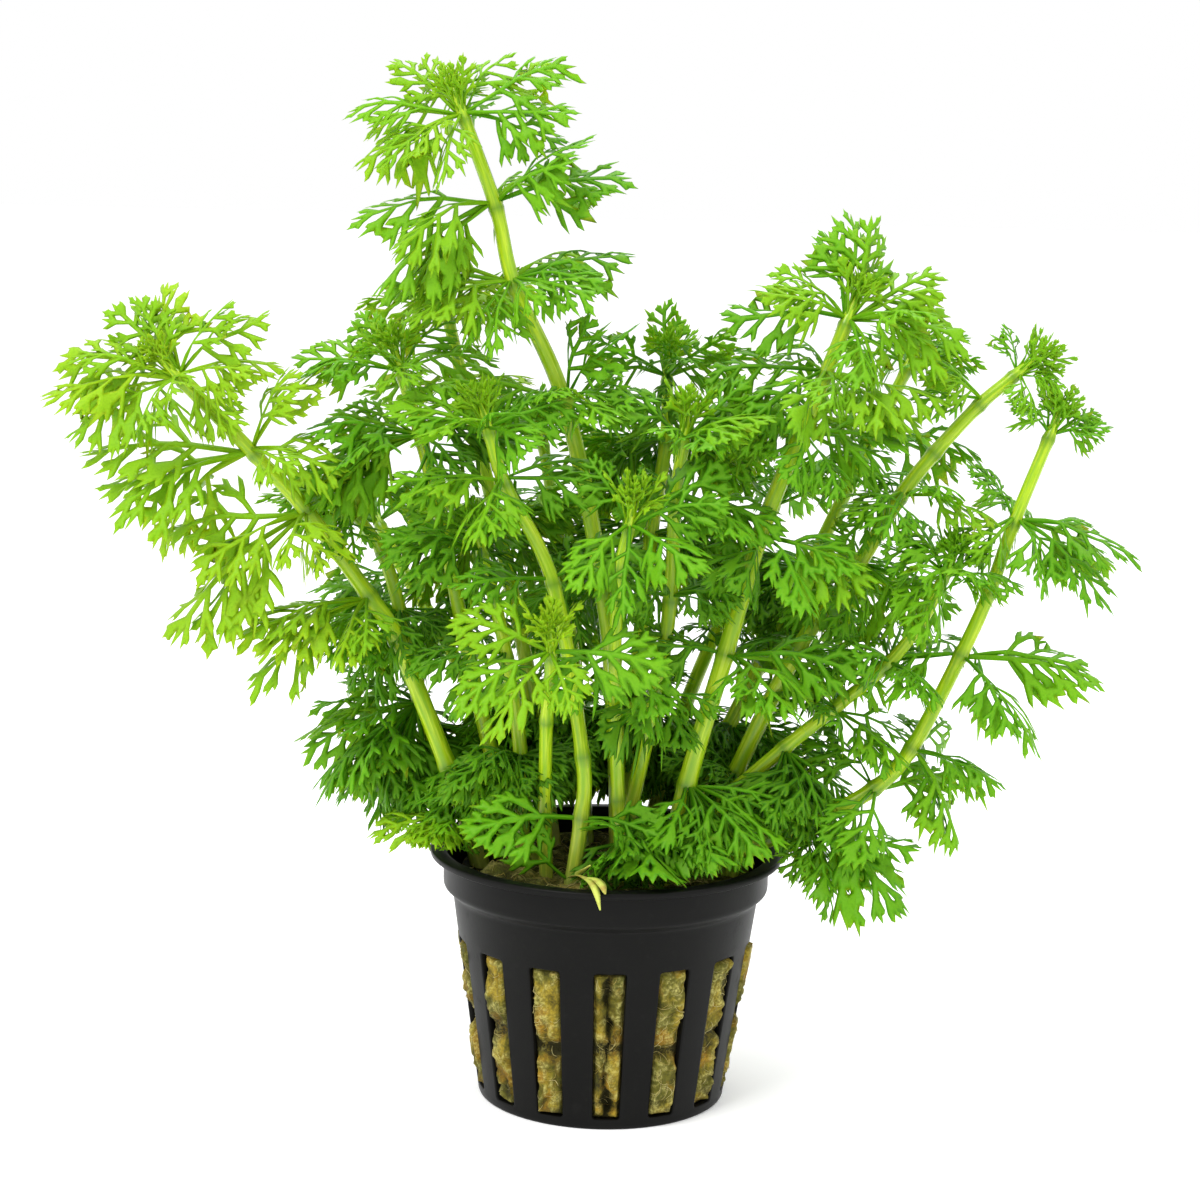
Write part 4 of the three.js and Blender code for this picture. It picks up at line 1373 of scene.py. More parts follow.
           Whorl(2, ((60, -15, 17), (120, -15, 17))),
           Whorl(3, ((10, 0, 16), (90, -5, 17), (180, 0, 16))),
           Whorl(4, ((20, 25, 15), (90, 25, 15), (160, 25, 15), (240, 40, 13), (310, 40, 13))))),
    Shoot("back_low_left", (1.4, 1.0), 2, 0.25,
          ((-12, 13, 33), (-19, 21, 52), (-28, 30, 67), (-34, 36, 75), (-39, 41, 83)),
          (Whorl(2, ((90, -10, 16), (190, -10, 16), (260, -20, 14), (350, 0, 14))),
           Whorl(3, ((80, -10, 17), (150, -10, 18), (225, -5, 14))),
           Whorl(4, ((50, 20, 15), (110, 20, 15), (170, 20, 15), (230, 20, 14), (330, 45, 13))))),
    Shoot("back_low_right", (1.4, 1.0), 1, 0.25,
          ((6, 18, 33), (11, 26, 52), (18, 35, 69), (22, 40, 78), (27, 45, 87)),
          (Whorl(1, ((300, -20, 15), (0, -10, 16), (230, -15, 14))),
           Whorl(2, ((0, -10, 16), (60, 0, 16), (250, -10, 15), (310, -20, 15))),
           Whorl(3, ((0, -10, 17), (70, -10, 18), (150, -5, 15))),
           Whorl(4, ((350, 20, 15), (50, 20, 15), (110, 20, 15), (175, 25, 14), (270, 45, 13))))),
)


@dataclass
class ShootMaker:
    """Builds one shoot: its stem with nodes and bud, its lower whorls and its crown."""

    shoot: Shoot
    press: LeafPress
    stem_finish: Material
    leaf_finish: Material
    # The stem: its sides, the gap between its rings, its flutes, its nodes and its tapered end
    sides: int = 16
    step: float = 1.1
    flutes: int = 8
    flute_depth: float = 0.018
    waist: float = 0.93
    node_swell: float = 0.17
    node_half: float = 0.85
    bud_height: float = 6.2
    bud_rises: tuple[float, ...] = (0, 0.6, 1.3, 2.2, 3.2, 4.2, 5.0)
    end_knots: tuple[float, ...] = (0, 0.3, 0.6, 0.82)
    end_radii: tuple[float, ...] = (1, 0.8, 0.5, 0.2)
    end_point: float = 0.25
    line_stretch: float = 0.045
    foot_from: float = 1.25
    foot_height: float = 16.0
    foot_range: Pair = (0.3, 0.9)
    # The roots of its leaves
    ring_gap: float = 0.7
    tip_lift: float = 1.0
    tip_root: float = 0.5
    # How green its leaves are: a gain, a spread, and a painted shade from how deep they lie in the bush
    fresh_gain: float = 0.12
    fresh_spread: float = 0.16
    shade: float = 0.5
    shade_core: float = 16.0
    shade_depth: float = 30.0
    shade_top: float = 85.0
    # The heart of the bush: its reach from the axis and its top, where filling leaves grow
    heart: Pair = (37.0, 106.0)
    fillers: tuple[int, int] = (5, 8)
    back_from: float = 8.0
    open_before: float = -12.0
    beside: Pair = (16, 27)
    beside_rise: float = 18
    beside_length: float = 0.88
    filler_turns: Pair = (12, 40)
    filler_lengths: Pair = (0.85, 1.02)
    filler_reach: float = 8.0
    fill_under: float = 57.0
    fill_behind: float = -4.0
    low_heart: float = 84.0
    low_lean: float = -60
    high_lean: float = -30
    least_lean: float = -20
    short_under: float = 50.0
    short_length: float = 0.75
    # Leaves that hang over the pot's rim at the back
    hanging: int = 4
    hang_behind: float = 5.0
    low_fill: float = 66.0
    hang_spread: float = 40
    hang_leans: Pair = (-78, -52)
    # Broad leaves at the front
    broad_before: float = -4.0
    broad_chance: float = 0.65
    # The bud's rows of young leaves: how many, their rise and their length
    bud_rows: tuple[tuple[int, float, float], ...] = ((5, 58, 8.5), (5, 72, 6.5), (4, 82, 5.0))
    bud_lift: float = 1.4
    bud_gap: float = 1.2
    bud_root: float = 0.6
    bud_fresh: float = 0.25
    bud_droop: float = -0.05

    def __post_init__(self) -> None:
        """Lays the stem's line and starts its own draws."""
        self.path = np.array(self.shoot.path)
        self.random = np.random.default_rng(sum(ord(c) * (i + 3) for i, c in enumerate(self.shoot.name)))

    def build(self) -> None:
        """Makes every piece of the shoot."""
        name, tip = self.shoot.name, self.shoot.tip
        self._stem()
        lower = [whorl for whorl in self.shoot.whorls if whorl.at < tip]
        for i, whorl in enumerate(lower):
            shape = Shape()
            self._press_whorl(shape, whorl)
            piece = shape.mesh(f"{name}_leaves_{i + 1}", [self.leaf_finish])
            place(piece, Slot.LEAF, [f"whorl_{name}_{i + 1}"])
        shape = Shape()
        for whorl in self.shoot.whorls[len(lower):]:
            self._press_whorl(shape, whorl)
        self._press_bud(shape)
        place(shape.mesh(f"{name}_crown", [self.leaf_finish]), Slot.LEAF, [f"tip_{name}"])

    def along(self, at: int) -> Array:
        """Gives the stem's direction at one of its points."""
        return unit(self.path[min(at + 1, len(self.path) - 1)] - self.path[max(at - 1, 0)])

    def radius(self, at: float) -> float:
        """Gives the stem's radius at a point of its path."""
        base, end = self.shoot.girth
        return base + (end - base) * at / (len(self.path) - 1)

    def _press_whorl(self, shape: Shape, whorl: Whorl) -> None:
        """Adds the leaves of a whorl to a shape.

        Args:
            shape: the shape.
            whorl: the whorl.
        """
        along, radius = self.along(whorl.at), self.radius(whorl.at)
        on_tip = whorl.at >= self.shoot.tip
        centre = self.path[whorl.at] + along * (self.tip_lift if on_tip else 0)
        for (azimuth, rise, length), plain in self._companions(whorl):
            way = heading(azimuth, rise)
            level = unit(way - along * (way @ along))
            base = centre + level * (radius - self.tip_root)
            # The fresh mark: the shoot's freshness, less a painted shade for leaves deep in the bush.
            fresh = self.shoot.fresh + self.fresh_gain - self.shade * self._shade(base + way * length)
            fresh += self.random.uniform(-self.fresh_spread, self.fresh_spread)
            broad = base[1] < self.broad_before and self.random.uniform() < self.broad_chance
            kind = LeafKind.PLAIN if plain else LeafKind.BROAD if broad else LeafKind.GROWN
            leaf = Leaf(base, way, self._face(base, along, way), length + (0 if on_tip else self.ring_gap),
                        float(np.clip(fresh, 0, 1)), kind=kind)
            self.press.press(shape, leaf, self.random)

    def _shade(self, point: Array) -> float:
        """Gives how deep inside the bush a point is, from 0 to 1, which sets the painted shade of its leaves.
        """
        reach = math.hypot(point[0], point[1]) + 0.5 * max(0.0, point[2] - self.shade_top)
        return 1 - min(max((reach - self.shade_core) / self.shade_depth, 0.0), 1.0)

    def _companions(self, whorl: Whorl) -> list[tuple[Triple, bool]]:
        """Lists a whorl's leaves and the leaves between them.

        Args:
            whorl: the whorl.

        Returns:
            Each leaf's azimuth, rise and length, and whether it is plain.
        """
        x, y, z = self.path[whorl.at]
        closed = y > self.open_before
        inner = closed and math.hypot(x, y) < self.heart[0] and z < self.heart[1]
        fillers = self.fillers[y > self.back_from] if inner else 0
        extra = self.hanging if inner and y > self.hang_behind and z < self.low_fill else 0
        low = self.low_lean if z < self.low_heart else self.high_lean
        draw = self.random.uniform
        found = []
        for azimuth, rise, length in whorl.leaves:
            found.append(((azimuth, rise, length), False))
            side = self.random.choice((-1, 1))
            if closed:
                turn = azimuth + side * draw(*self.beside)
                lean = rise + draw(-self.beside_rise, self.beside_rise)
                found.append(((turn, lean, self.beside_length * length), False))
            for i in range(fillers + extra):
                side = -side
                hangs = i >= fillers
                turn = (90 - 90 * side + draw(-self.hang_spread, self.hang_spread) if hangs
                        else azimuth + side * draw(*self.filler_turns))
                if z > self.fill_under and y + self.filler_reach * heading(turn, 0)[1] < self.fill_behind:
                    continue
                lean = (draw(*self.hang_leans) if hangs else rise + draw(low, self.least_lean) if i % 2
                        else rise + draw(self.least_lean, -self.least_lean))
                share = draw(*self.filler_lengths) * (self.short_length if z < self.short_under else 1)
                found.append(((turn, max(lean, self.hang_leans[0]), share * length), True))
        return found

    def _face(self, base: Array, along: Array, way: Array) -> Array:
        """Gives the direction that a leaf's upper side faces: outwards, upwards and to the nearer side.

        Args:
            base: the leaf's base.
            along: the stem's direction there.
            way: the leaf's own direction.

        Returns:
            The direction.
        """
        out = unit(np.array([base[0], base[1], 0.0])) * 0.5 + along * 0.2
        out[1] += -0.6 if base[1] < self.back_from else 0.6
        out[2] += 0.6
        return unit(out - way * (way @ out))

    def _press_bud(self, shape: Shape) -> None:
        """Adds the young leaves that close round the bud.

        Args:
            shape: the shape.
        """
        along = self.along(len(self.path) - 1)
        centre = self.path[-1] + along * self.bud_lift
        first = unit(np.cross(along, [0.3, 1.0, 0.1]))
        second = np.cross(along, first)
        draw = self.random.uniform
        for row, (count, rise, length) in enumerate(self.bud_rows):
            for i in range(count):
                turn = 2 * math.pi * (i + 0.5 * row) / count + draw(-0.2, 0.2)
                level = first * math.cos(turn) + second * math.sin(turn)
                lean = math.radians(rise + draw(-8, 8))
                way = unit(level * math.cos(lean) + along * math.sin(lean))
                face = unit(along * math.cos(lean) - level * math.sin(lean))
                base = centre + along * row * self.bud_gap + level * self.bud_root
                leaf = Leaf(base, way, face, length * draw(0.85, 1.1),
                            min(1.0, self.shoot.fresh + self.bud_fresh), self.bud_droop, LeafKind.YOUNG)
                self.press.press(shape, leaf, self.random)

    def _line(self) -> tuple[Array, Array]:
        """Runs the stem's smooth line through its path and on into the bud.

        Returns:
            The line's points, and how far along the path each is, in path points.
        """
        last = len(self.path) - 1
        along = self.along(last)
        ends = np.concatenate([[2 * self.path[0] - self.path[1]], self.path,
                               [self.path[-1] + along * self.bud_height]])
        points, numbers = [], []
        for i in range(last):
            p0, p1, p2, p3 = ends[i:i + 4]
            count = max(2, round(float(np.linalg.norm(p2 - p1)) / self.step))
            for t in np.arange(count) / count:
                points.append(0.5 * (2 * p1 + (p2 - p0) * t + (2 * p0 - 5 * p1 + 4 * p2 - p3) * t * t
                                     + (3 * p1 - p0 - 3 * p2 + p3) * t ** 3))
                numbers.append(i + t)
        for rise in self.bud_rises:
            points.append(self.path[-1] + along * rise)
            numbers.append(last + rise / self.bud_height)
        return np.array(points), np.array(numbers)

    def _stem(self) -> None:
        """Makes the stem, with its nodes, from the rockwool to the bud."""
        points, numbers = self._line()
        last = len(self.path) - 1
        run = np.concatenate([[0], np.cumsum(np.linalg.norm(np.diff(points, axis=0), axis=1))])
        node = self._nodes(points, run)
        radii = np.array([self.radius(min(number, last)) for number in numbers])
        radii *= np.interp(numbers, [last + knot for knot in self.end_knots], self.end_radii)
        along = unit(np.gradient(points, axis=0))
        first = unit(np.array([1.0, 0, 0]) - along * along[:, :1])
        turn = 2 * math.pi * np.arange(self.sides) / self.sides
        flute = 1 + self.flute_depth * np.cos(self.flutes * turn)
        girth = radii[:, None] * flute * (self.waist + self.node_swell * node[:, None])
        around = (len(points), self.sides)
        foot = np.clip(self.foot_from - run / self.foot_height, 0, 1) * self.random.uniform(*self.foot_range)
        marks = {"round": np.stack([np.broadcast_to(np.cos(turn), around),
                                    np.broadcast_to(np.sin(turn), around),
                                    np.broadcast_to(run[:, None] * self.line_stretch, around)],
                                   -1).reshape(-1, 3),
                 "node": np.repeat(node, self.sides), "foot": np.repeat(foot, self.sides)}
        shape = Shape()
        rings = shape.add_rings(tube(points, along, first, girth, turn), **marks)
        shape.close(rings[0], points[0], True, **{name: mark[:1] for name, mark in marks.items()})
        shape.close(rings[-1], points[-1] + along[-1] * self.end_point,
                    **{name: mark[-1:] for name, mark in marks.items()})
        piece = shape.mesh(f"{self.shoot.name}_stem", [self.stem_finish])
        place(piece, Slot.STEM, [f"stem_{self.shoot.name}", f"tip_{self.shoot.name}"])

    def _nodes(self, points: Array, run: Array) -> Array:
        """Gives how near each point of the stem's line is to a node.

        Args:
            points: the line's points.
            run: the length of the line up to each.

        Returns:
            The nearness of each, from 0 to 1.
        """
        node = np.zeros(len(points))
        for at in sorted({whorl.at for whorl in self.shoot.whorls} | set(range(1, len(self.path) - 1))):
            here = run[int(np.argmin(np.linalg.norm(points - self.path[at], axis=1)))]
            node = np.maximum(node, np.exp(-((run - here) / self.node_half) ** 2))
        return node


# Pot


def rounded(corners: Sequence[Pair], radius: float, straights: Sequence[int]) -> Array:
    """Rounds a closed outline, which starts in the middle of its first corner.

    Args:
        corners: its four corners, in turn.
        radius: the corners' radius.
        straights: the number of segments on each straight side.

    Returns:
        The points, with four segments round each corner.
    """
    corners = np.array(corners, float)
    arcs = []
    for corner, before, after in zip(corners, np.roll(corners, 1, 0), np.roll(corners, -1, 0)):
        back, on = unit(before - corner), unit(after - corner)
        half = math.acos(float(np.clip(back @ on, -1, 1))) / 2
        centre = corner + unit(back + on) * radius / math.sin(half)
        start = corner + back * radius / math.tan(half) - centre
        turns = np.arange(5) / 4 * (math.pi - 2 * half)
        arcs.append(centre + np.stack([start[0] * np.cos(turns) - start[1] * np.sin(turns),
                                       start[0] * np.sin(turns) + start[1] * np.cos(turns)], 1))
    points = []
    for arc, following, count in zip(arcs, arcs[1:] + arcs[:1], straights):
        shares = np.arange(1, count)[:, None] / count
        points += [*arc[2:], *(arc[4] + (following[0] - arc[4]) * shares), *following[:2]]
    return np.array(points)


def widened(outline: Array, grow: float) -> Array:
    """Moves a closed outline outwards."""
    way = unit(np.roll(outline, -1, 0) - np.roll(outline, 1, 0))
    return outline + np.stack([way[:, 1], -way[:, 0]], 1) * grow


@dataclass
class NetPot:
    """The net pot: a lip and collar, a tapered wall with slots and a slotted floor, with eased edges.

    A slot's eases are how much wider than the slot a ring of its edge is, and how deep below the side.
    """

    plastic: Material
    height: float = 39.5
    lip_radius: float = 27.5
    lip_thick: float = 1.1
    collar_radius: float = 25.4
    collar_z: float = 32.4
    wall_top: float = 23.9
    base: float = 19.3
    wall: float = 1.1
    floor: float = 1.2
    slots: int = 14
    turn: float = 2.5
    slot_low: Pair = (1.7, 4.1)
    slot_high: Pair = (25.6, 4.95)
    slot_round: float = 0.45
    slot_band: Pair = (1.0, 26.7)
    slot_steps: int = 8
    outer_eases: tuple[Pair, ...] = ((0.42, 0), (0.26, 0), (0.08, 0.08), (0, 0.26))
    inner_eases: tuple[Pair, ...] = ((0, 0.22), (0.07, 0.06), (0.22, 0))
    inner_lap: float = 0.4
    floor_slots: int = 7
    floor_slot: Triple = (8.0, 15.0, 3.0)
    floor_round: float = 0.6
    floor_ease: Pair = (0.2, 0.18)
    floor_band: Pair = (5.0, 17.9)
    hub: float = 2.4
    columns: int = 8
    merge: float = 0.004
    crease: float = 38.0

    @property
    def around(self) -> int:
        """Gives the number of columns round the pot."""
        return self.slots * self.columns

    @property
    def front(self) -> float:
        """Gives the angle of the front slot."""
        return math.radians(self.turn - 90)

    @property
    def start(self) -> float:
        """Gives the angle of the first column, between two slots."""
        return math.radians(self.turn - 90 - 180 / self.slots)

    def outer(self, z: Any) -> Any:
        """Gives the wall's outer radius at a height."""
        return self.base + (self.wall_top - self.base) * z / self.collar_z

    def slot_half(self, z: float) -> float:
        """Gives the half width of a wall slot at a height."""
        (z0, w0), (z1, w1) = self.slot_low, self.slot_high
        return (w0 + (w1 - w0) * (z - z0) / (z1 - z0)) / 2

    def build(self) -> None:
        """Makes the pot."""
        shape = Shape()
        for i in range(self.slots):
            self._slot(shape, math.radians(self.turn - 90 + 360 * i / self.slots))
        low, high = self.slot_band
        near, far = self.floor_band
        inside = low + self.inner_lap
        inner = self.outer(inside) - self.wall
        self._turned(shape, self._outer_line(high))
        self._turned(shape, self._inner_line(high))
        self._turned(shape, [(self.outer(low), low), (self.outer(0.45), 0.45), (self.outer(0) - 0.06, 0.16),
                             (self.outer(0) - 0.3, 0.0), (far, 0.0)])
        self._turned(shape, [(far, self.floor), (inner - 0.15, self.floor), (inner, inside)])
        for i in range(self.floor_slots):
            self._floor_slot(shape, i)
        self._turned(shape, [(near, 0.0), (self.hub, 0.0)])
        self._turned(shape, [(self.hub, self.floor), (near, self.floor)])
        for z in (0.0, self.floor):
            shape.close(self._turned(shape, [(self.hub, z)])[0], (0, 0, z))
        place(shape.mesh("net_pot", [self.plastic], self.merge, self.crease), Slot.PLASTIC, ["pot"])

    def _outer_line(self, start: float) -> list[Pair]:
        """Gives the outer side's section above the slots, from the wall to the top of the lip.

        Args:
            start: the height at which it starts.

        Returns:
            The section, as radius and height.
        """
        collar, lip, top, z = self.collar_radius, self.lip_radius, self.height, self.collar_z
        under = top - self.lip_thick
        return [(self.outer(start), start), (self.outer(z - 1.6), z - 1.6), (self.outer(z - 0.7), z - 0.7),
                (self.outer(z - 0.25), z - 0.25), (self.wall_top + 0.12, z + 0.02),
                (self.wall_top + 0.4, z + 0.28), (collar - 0.45, z + 0.85), (collar - 0.16, z + 1.12),
                (collar - 0.03, z + 1.45), (collar, z + 1.9), (collar, under - 0.5),
                (collar + 0.03, under - 0.18), (collar + 0.2, under), (collar + 0.6, under),
                (lip - 0.55, under), (lip - 0.22, under + 0.02), (lip - 0.06, under + 0.12),
                (lip, under + 0.32), (lip, top - 0.36), (lip - 0.06, top - 0.16), (lip - 0.2, top - 0.04),
                (lip - 0.5, top)]

    def _inner_line(self, start: float) -> list[Pair]:
        """Gives the inner side's section above the slots, from the lip down to the wall.

        Args:
            start: the height at which it ends.

        Returns:
            The section, as radius and height.
        """
        collar, lip, top, z = self.collar_radius, self.lip_radius, self.height, self.collar_z
        return [(lip - 0.5, top), (collar + 0.35, top), (collar - 0.02, top - 0.05),
                (collar - 0.24, top - 0.2), (collar - 0.34, top - 0.5), (collar - 0.45, top - 1.4),
                (collar - 1.05, z + 1.6), (collar - 1.2, z + 1.1), (self.wall_top - 0.8, z + 0.3),
                (self.wall_top - 1.05, z - 0.1), (self.outer(z - 0.8) - self.wall, z - 0.8),
                (self.outer(start) - self.wall, start)]

    def _turned(self, shape: Shape, line: Sequence[Pair]) -> Array:
        """Adds a turned band to the shape.

        Args:
            shape: the shape.
            line: the band's section, as radius and height.

        Returns:
            The numbers of its points, ring by ring.
        """
        turns = self.start + 2 * math.pi * np.arange(self.around) / self.around
        line = np.array(line)
        return shape.add_rings(np.stack([
            np.outer(line[:, 0], np.cos(turns)), np.outer(line[:, 0], np.sin(turns)),
            np.repeat(line[:, 1:], self.around, 1)], -1))

    def _slot(self, shape: Shape, middle: float) -> None:
        """Adds one bay of the wall with its slot.

        Args:
            shape: the shape.
            middle: the angle of the slot's middle.
        """
        (z0, w0), (z1, w1) = self.slot_low, self.slot_high
        level = self.columns - 4
        outline = rounded([(-w0 / 2, z0), (w0 / 2, z0), (w1 / 2, z1), (-w1 / 2, z1)], self.slot_round,
                          [level, self.slot_steps, level, self.slot_steps])
        half = math.pi / self.slots
        low, high = self.slot_band
        count = self.slot_steps + 4
        heights = (outline[self.columns:self.columns + count + 1, 1] - z0) / (z1 - z0)
        heights = (heights - heights[0]) / (heights[-1] - heights[0])

        def border(bottom: float) -> Array:
            """Gives the bay's border, from a lowest height, as angle and height."""
            across = np.linspace(-half, half, self.columns + 1)
            rise = bottom + (high - bottom) * heights
            return np.concatenate([np.stack([across[:-1], np.full(self.columns, bottom)], 1),
                                   np.stack([np.full(count, half), rise[:-1]], 1),
                                   np.stack([across[:0:-1], np.full(self.columns, high)], 1),
                                   np.stack([np.full(count, -half), rise[:0:-1]], 1)])

        def bent(points: Array, depth: float, angles: bool = False) -> Array:
            """Lays points on the wall at a depth below its outer side."""
            x, z = points.T
            outer = self.outer(z)
            turns = middle + (x if angles else x / outer)
            return np.stack([(outer - depth) * np.cos(turns), (outer - depth) * np.sin(turns), z], 1)

        shape.add_rings(np.array([
            bent(border(low), 0, True),
            *(bent(widened(outline, grow), depth) for grow, depth in self.outer_eases),
            *(bent(widened(outline, grow), self.wall - depth) for grow, depth in self.inner_eases),
            bent(border(low + self.inner_lap), self.wall, True)]))

    def _floor_slot(self, shape: Shape, number: int) -> None:
        """Adds one bay of the floor with its slot.

        Args:
            shape: the shape.
            number: the bay's number.
        """
        near, far, width = self.floor_slot
        across, sides = self.around // self.floor_slots, self.slot_steps
        step = 2 * math.pi / self.around
        middle = self.start + step * (round((2 * math.pi * number / self.floor_slots - self.start) / step))
        outline = rounded([(near, -width / 2), (far, -width / 2), (far, width / 2), (near, width / 2)],
                          self.floor_round, [sides - 4, across - 4, sides - 4, across - 4])
        inner, outer = self.floor_band
        half = step * across / 2
        run = np.linspace(inner, outer, sides + 1)
        arc = np.linspace(-half, half, across + 1)
        radii = np.concatenate([run[:-1], np.full(across, outer), run[:0:-1], np.full(across, inner)])
        turns = np.concatenate([np.full(sides, -half), arc[:-1], np.full(sides, half), arc[:0:-1]])
        border = np.stack([radii * np.cos(turns), radii * np.sin(turns)], 1)
        spin = np.array([[math.cos(middle), math.sin(middle)], [-math.sin(middle), math.cos(middle)]])
        grow, deep = self.floor_ease
        wide = widened(outline, grow)
        shape.add_rings(np.array([
            np.column_stack([points @ spin, np.full(len(points), z)])
            for points, z in ((border, 0.0), (wide, 0.0), (outline, deep), (outline, self.floor - deep),
                              (wide, self.floor), (border, self.floor))]))


# Rockwool


@dataclass
class Rockwool:
    """The plug of rockwool: folded and lumpy, pressed into the slots, with loose fibres.

    The seam's heights and widths are those of the slit between two folds in the front slot.
    """

    pot: NetPot
    felt: Material
    fibre: Material
    top: float = 36.0
    bottom: float = 1.6
    seam_heights: tuple[float, ...] = (2.4, 3.4, 4.6, 6.0, 7.0, 8.6, 10.5, 14.5, 16.6, 17.8, 19.2, 21.0, 22.6,
                                       24.6, 25.4)
    seam_widths: tuple[float, ...] = (0.1, 0.85, 1.15, 0.8, 0.1, 0.3, 0.05, 0.05, 0.6, 0.5, 0.1, 0.55, 0.75,
                                      0.6, 0.2)
    seam_depth: float = 2.4
    pile_turn: float = 232.0
    pile_share: float = 0.86
    waist_z: float = 13.5
    waist_half: float = 1.5
    ruffle_under: float = 4.5
    most_proud: float = 0.55
    across: int = 14
    rib_columns: Pair = (0.35, 0.65)
    rows: int = 80
    shelf_rows: int = 6
    rings: int = 24
    gap: float = 0.25
    bulge: float = 1.6
    slot_edge: float = 0.5
    slot_end: float = 0.7
    slot_fibres: int = 320
    top_fibres: int = 280
    slot_zone: Pair = (2.2, 25.0)
    slot_limits: Pair = (1.9, 25.3)
    slot_lengths: Pair = (1.2, 4.6)
    slot_slope: float = 1.3
    upright_chance: float = 0.35
    slot_girths: Pair = (0.025, 0.05)
    top_lengths: Pair = (1.5, 5.0)
    top_girths: Pair = (0.04, 0.08)
    fibre_points: int = 8
    fibre_sides: int = 3

    def __post_init__(self) -> None:
        """Starts the wool's own draws."""
        self.random = np.random.default_rng(404)
        self.limit = self.pot.wall_top - self.pot.wall - self.gap
        self.pitch = 2 * math.pi / self.pot.slots

    def build(self) -> None:
        """Makes the plug and its fibres."""
        turns = self._turns()
        slot_top = self.pot.slot_high[0] + self.pot.inner_lap
        heights = np.concatenate([np.linspace(self.bottom, slot_top, self.rows),
                                  np.linspace(slot_top, self.top, self.shelf_rows + 1)[1:]])
        places = [self._side(turn, z) for z in heights for turn in turns]
        places += [self._crown(turn, 1 - i / self.rings) for i in range(1, self.rings) for turn in turns]
        points, hollow, crest, moss = (np.array(part) for part in zip(*places))
        shape = Shape()
        rings = shape.add_rings(points.reshape(-1, len(turns), 3), hollow=hollow, crest=crest, moss=moss)
        # The plug's end points take a middling painted shade.
        shape.close(rings[0], (0, 0, self.bottom), True, hollow=0.5)
        shape.close(rings[-1], (0, 0, self.top), hollow=0.5)
        self._fibres(shape)
        place(shape.mesh("rockwool_plug", [self.felt, self.fibre]), Slot.WOOL, ["rockwool"])

    def _turns(self) -> Array:
        """Gives the angles of the plug's columns, closest together in the slots.

        Returns:
            The angles, in radians.
        """
        z, width = self.pot.slot_high
        half = width / 2 / self.pot.outer(z) * 1.06
        ribs = [half + (self.pitch - 2 * half) * share for share in self.rib_columns]
        across = np.append(np.linspace(-half, half, self.across), ribs)
        return (self.pot.front + self.pitch * np.arange(self.pot.slots)[:, None] + across).ravel()

    def _slot_share(self, turn: float, z: float) -> float:
        """Gives how far inside a slot a place on the wall is.

        Args:
            turn: its angle.
            z: its height.

        Returns:
            The share, from 0 on a rib to 1 well inside the slot.
        """
        off = (turn - self.pot.front + self.pitch / 2) % self.pitch - self.pitch / 2
        (z0, _), (z1, _) = self.pot.slot_low, self.pot.slot_high
        side = (self.pot.slot_half(z) - abs(off) * self.pot.outer(z)) / self.slot_edge
        ends = min(z - z0, z1 - z) / self.slot_end
        share = max(0.0, min(side, ends, 1.0))
        return share * share * (3 - 2 * share)

    def _side(self, turn: float, z: float) -> tuple[Array, float, float, float]:
        """Gives a point of the plug's side.

        Args:
            turn: its angle.
            z: its height.

        Returns:
            The point and its marks: painted shade in a fold, the seam and behind the ribs, a painted highlight
                on a crest, and moss.
        """
        pot = self.pot
        base = min(pot.outer(z), pot.wall_top) - pot.wall - self.gap
        in_slot = self._slot_share(turn, z)
        x, y = math.cos(turn), math.sin(turn)
        spot = Vector((x * base, y * base, z))
        swell = perlin.noise(spot * 0.17 + Vector((3, 7, 1)))
        drift = Vector((perlin.noise(spot * 0.3), perlin.noise(spot * 0.3 + Vector((5, 0, 0))), 0))
        fold = 1 - 3.0 * abs(perlin.noise(Vector((spot.x * 0.5, spot.y * 0.5, z * 0.22)) + drift))
        crinkle = 1 - 3.0 * abs(perlin.noise(spot * 1.1 + drift * 2))
        waist = math.exp(-((z - self.waist_z - 3 * swell) / self.waist_half) ** 2)
        ruffle = 0.5 + 0.5 * math.sin(z * 2.1 + 9 * swell) if z < self.ruffle_under else 0.0
        seam = self._seam(turn, z)
        level = 0.82 + 0.75 * swell + 0.22 * fold + 0.1 * crinkle - 0.75 * waist - 0.3 * ruffle
        radius = base + in_slot * (self.bulge * level - self.seam_depth * seam)
        radius = min(radius, pot.outer(z) + self.most_proud)
        # Painted shade: darker in the waist, the seam, behind the ribs, in fold hollows and in the ruffles.
        hollow = 0.75 * waist + seam + 0.35 * (1 - in_slot) + 0.5 * max(0.0, -fold) + 0.4 * ruffle
        # Painted highlight: paler on the crests of the folds and crinkles.
        crest = max(0.0, fold * 0.7 + crinkle * 0.5 - 0.4)
        moss = max(0.0, 2.2 * perlin.noise(spot * 0.12 + Vector((8, 1, 6)))) ** 1.2
        return np.array([radius * x, radius * y, z]), min(1.0, hollow), crest, min(0.7, moss)

    def _seam(self, turn: float, z: float) -> float:
        """Gives how deep the front slot's slit between two folds is.

        Args:
            turn: the angle of a place on the side.
            z: its height.

        Returns:
            The depth, from 0 to 1.
        """
        off = ((turn - self.pot.front + math.pi) % (2 * math.pi) - math.pi) * self.pot.outer(z)
        line = 0.3 * math.sin(z * 0.5) + 0.14 * math.sin(z * 2.3) - 0.15
        width = float(np.interp(z, self.seam_heights, self.seam_widths))
        return max(0.0, 1 - (abs(off - line) / (width + 0.2)) ** 2) * min(1.0, 0.35 + width)

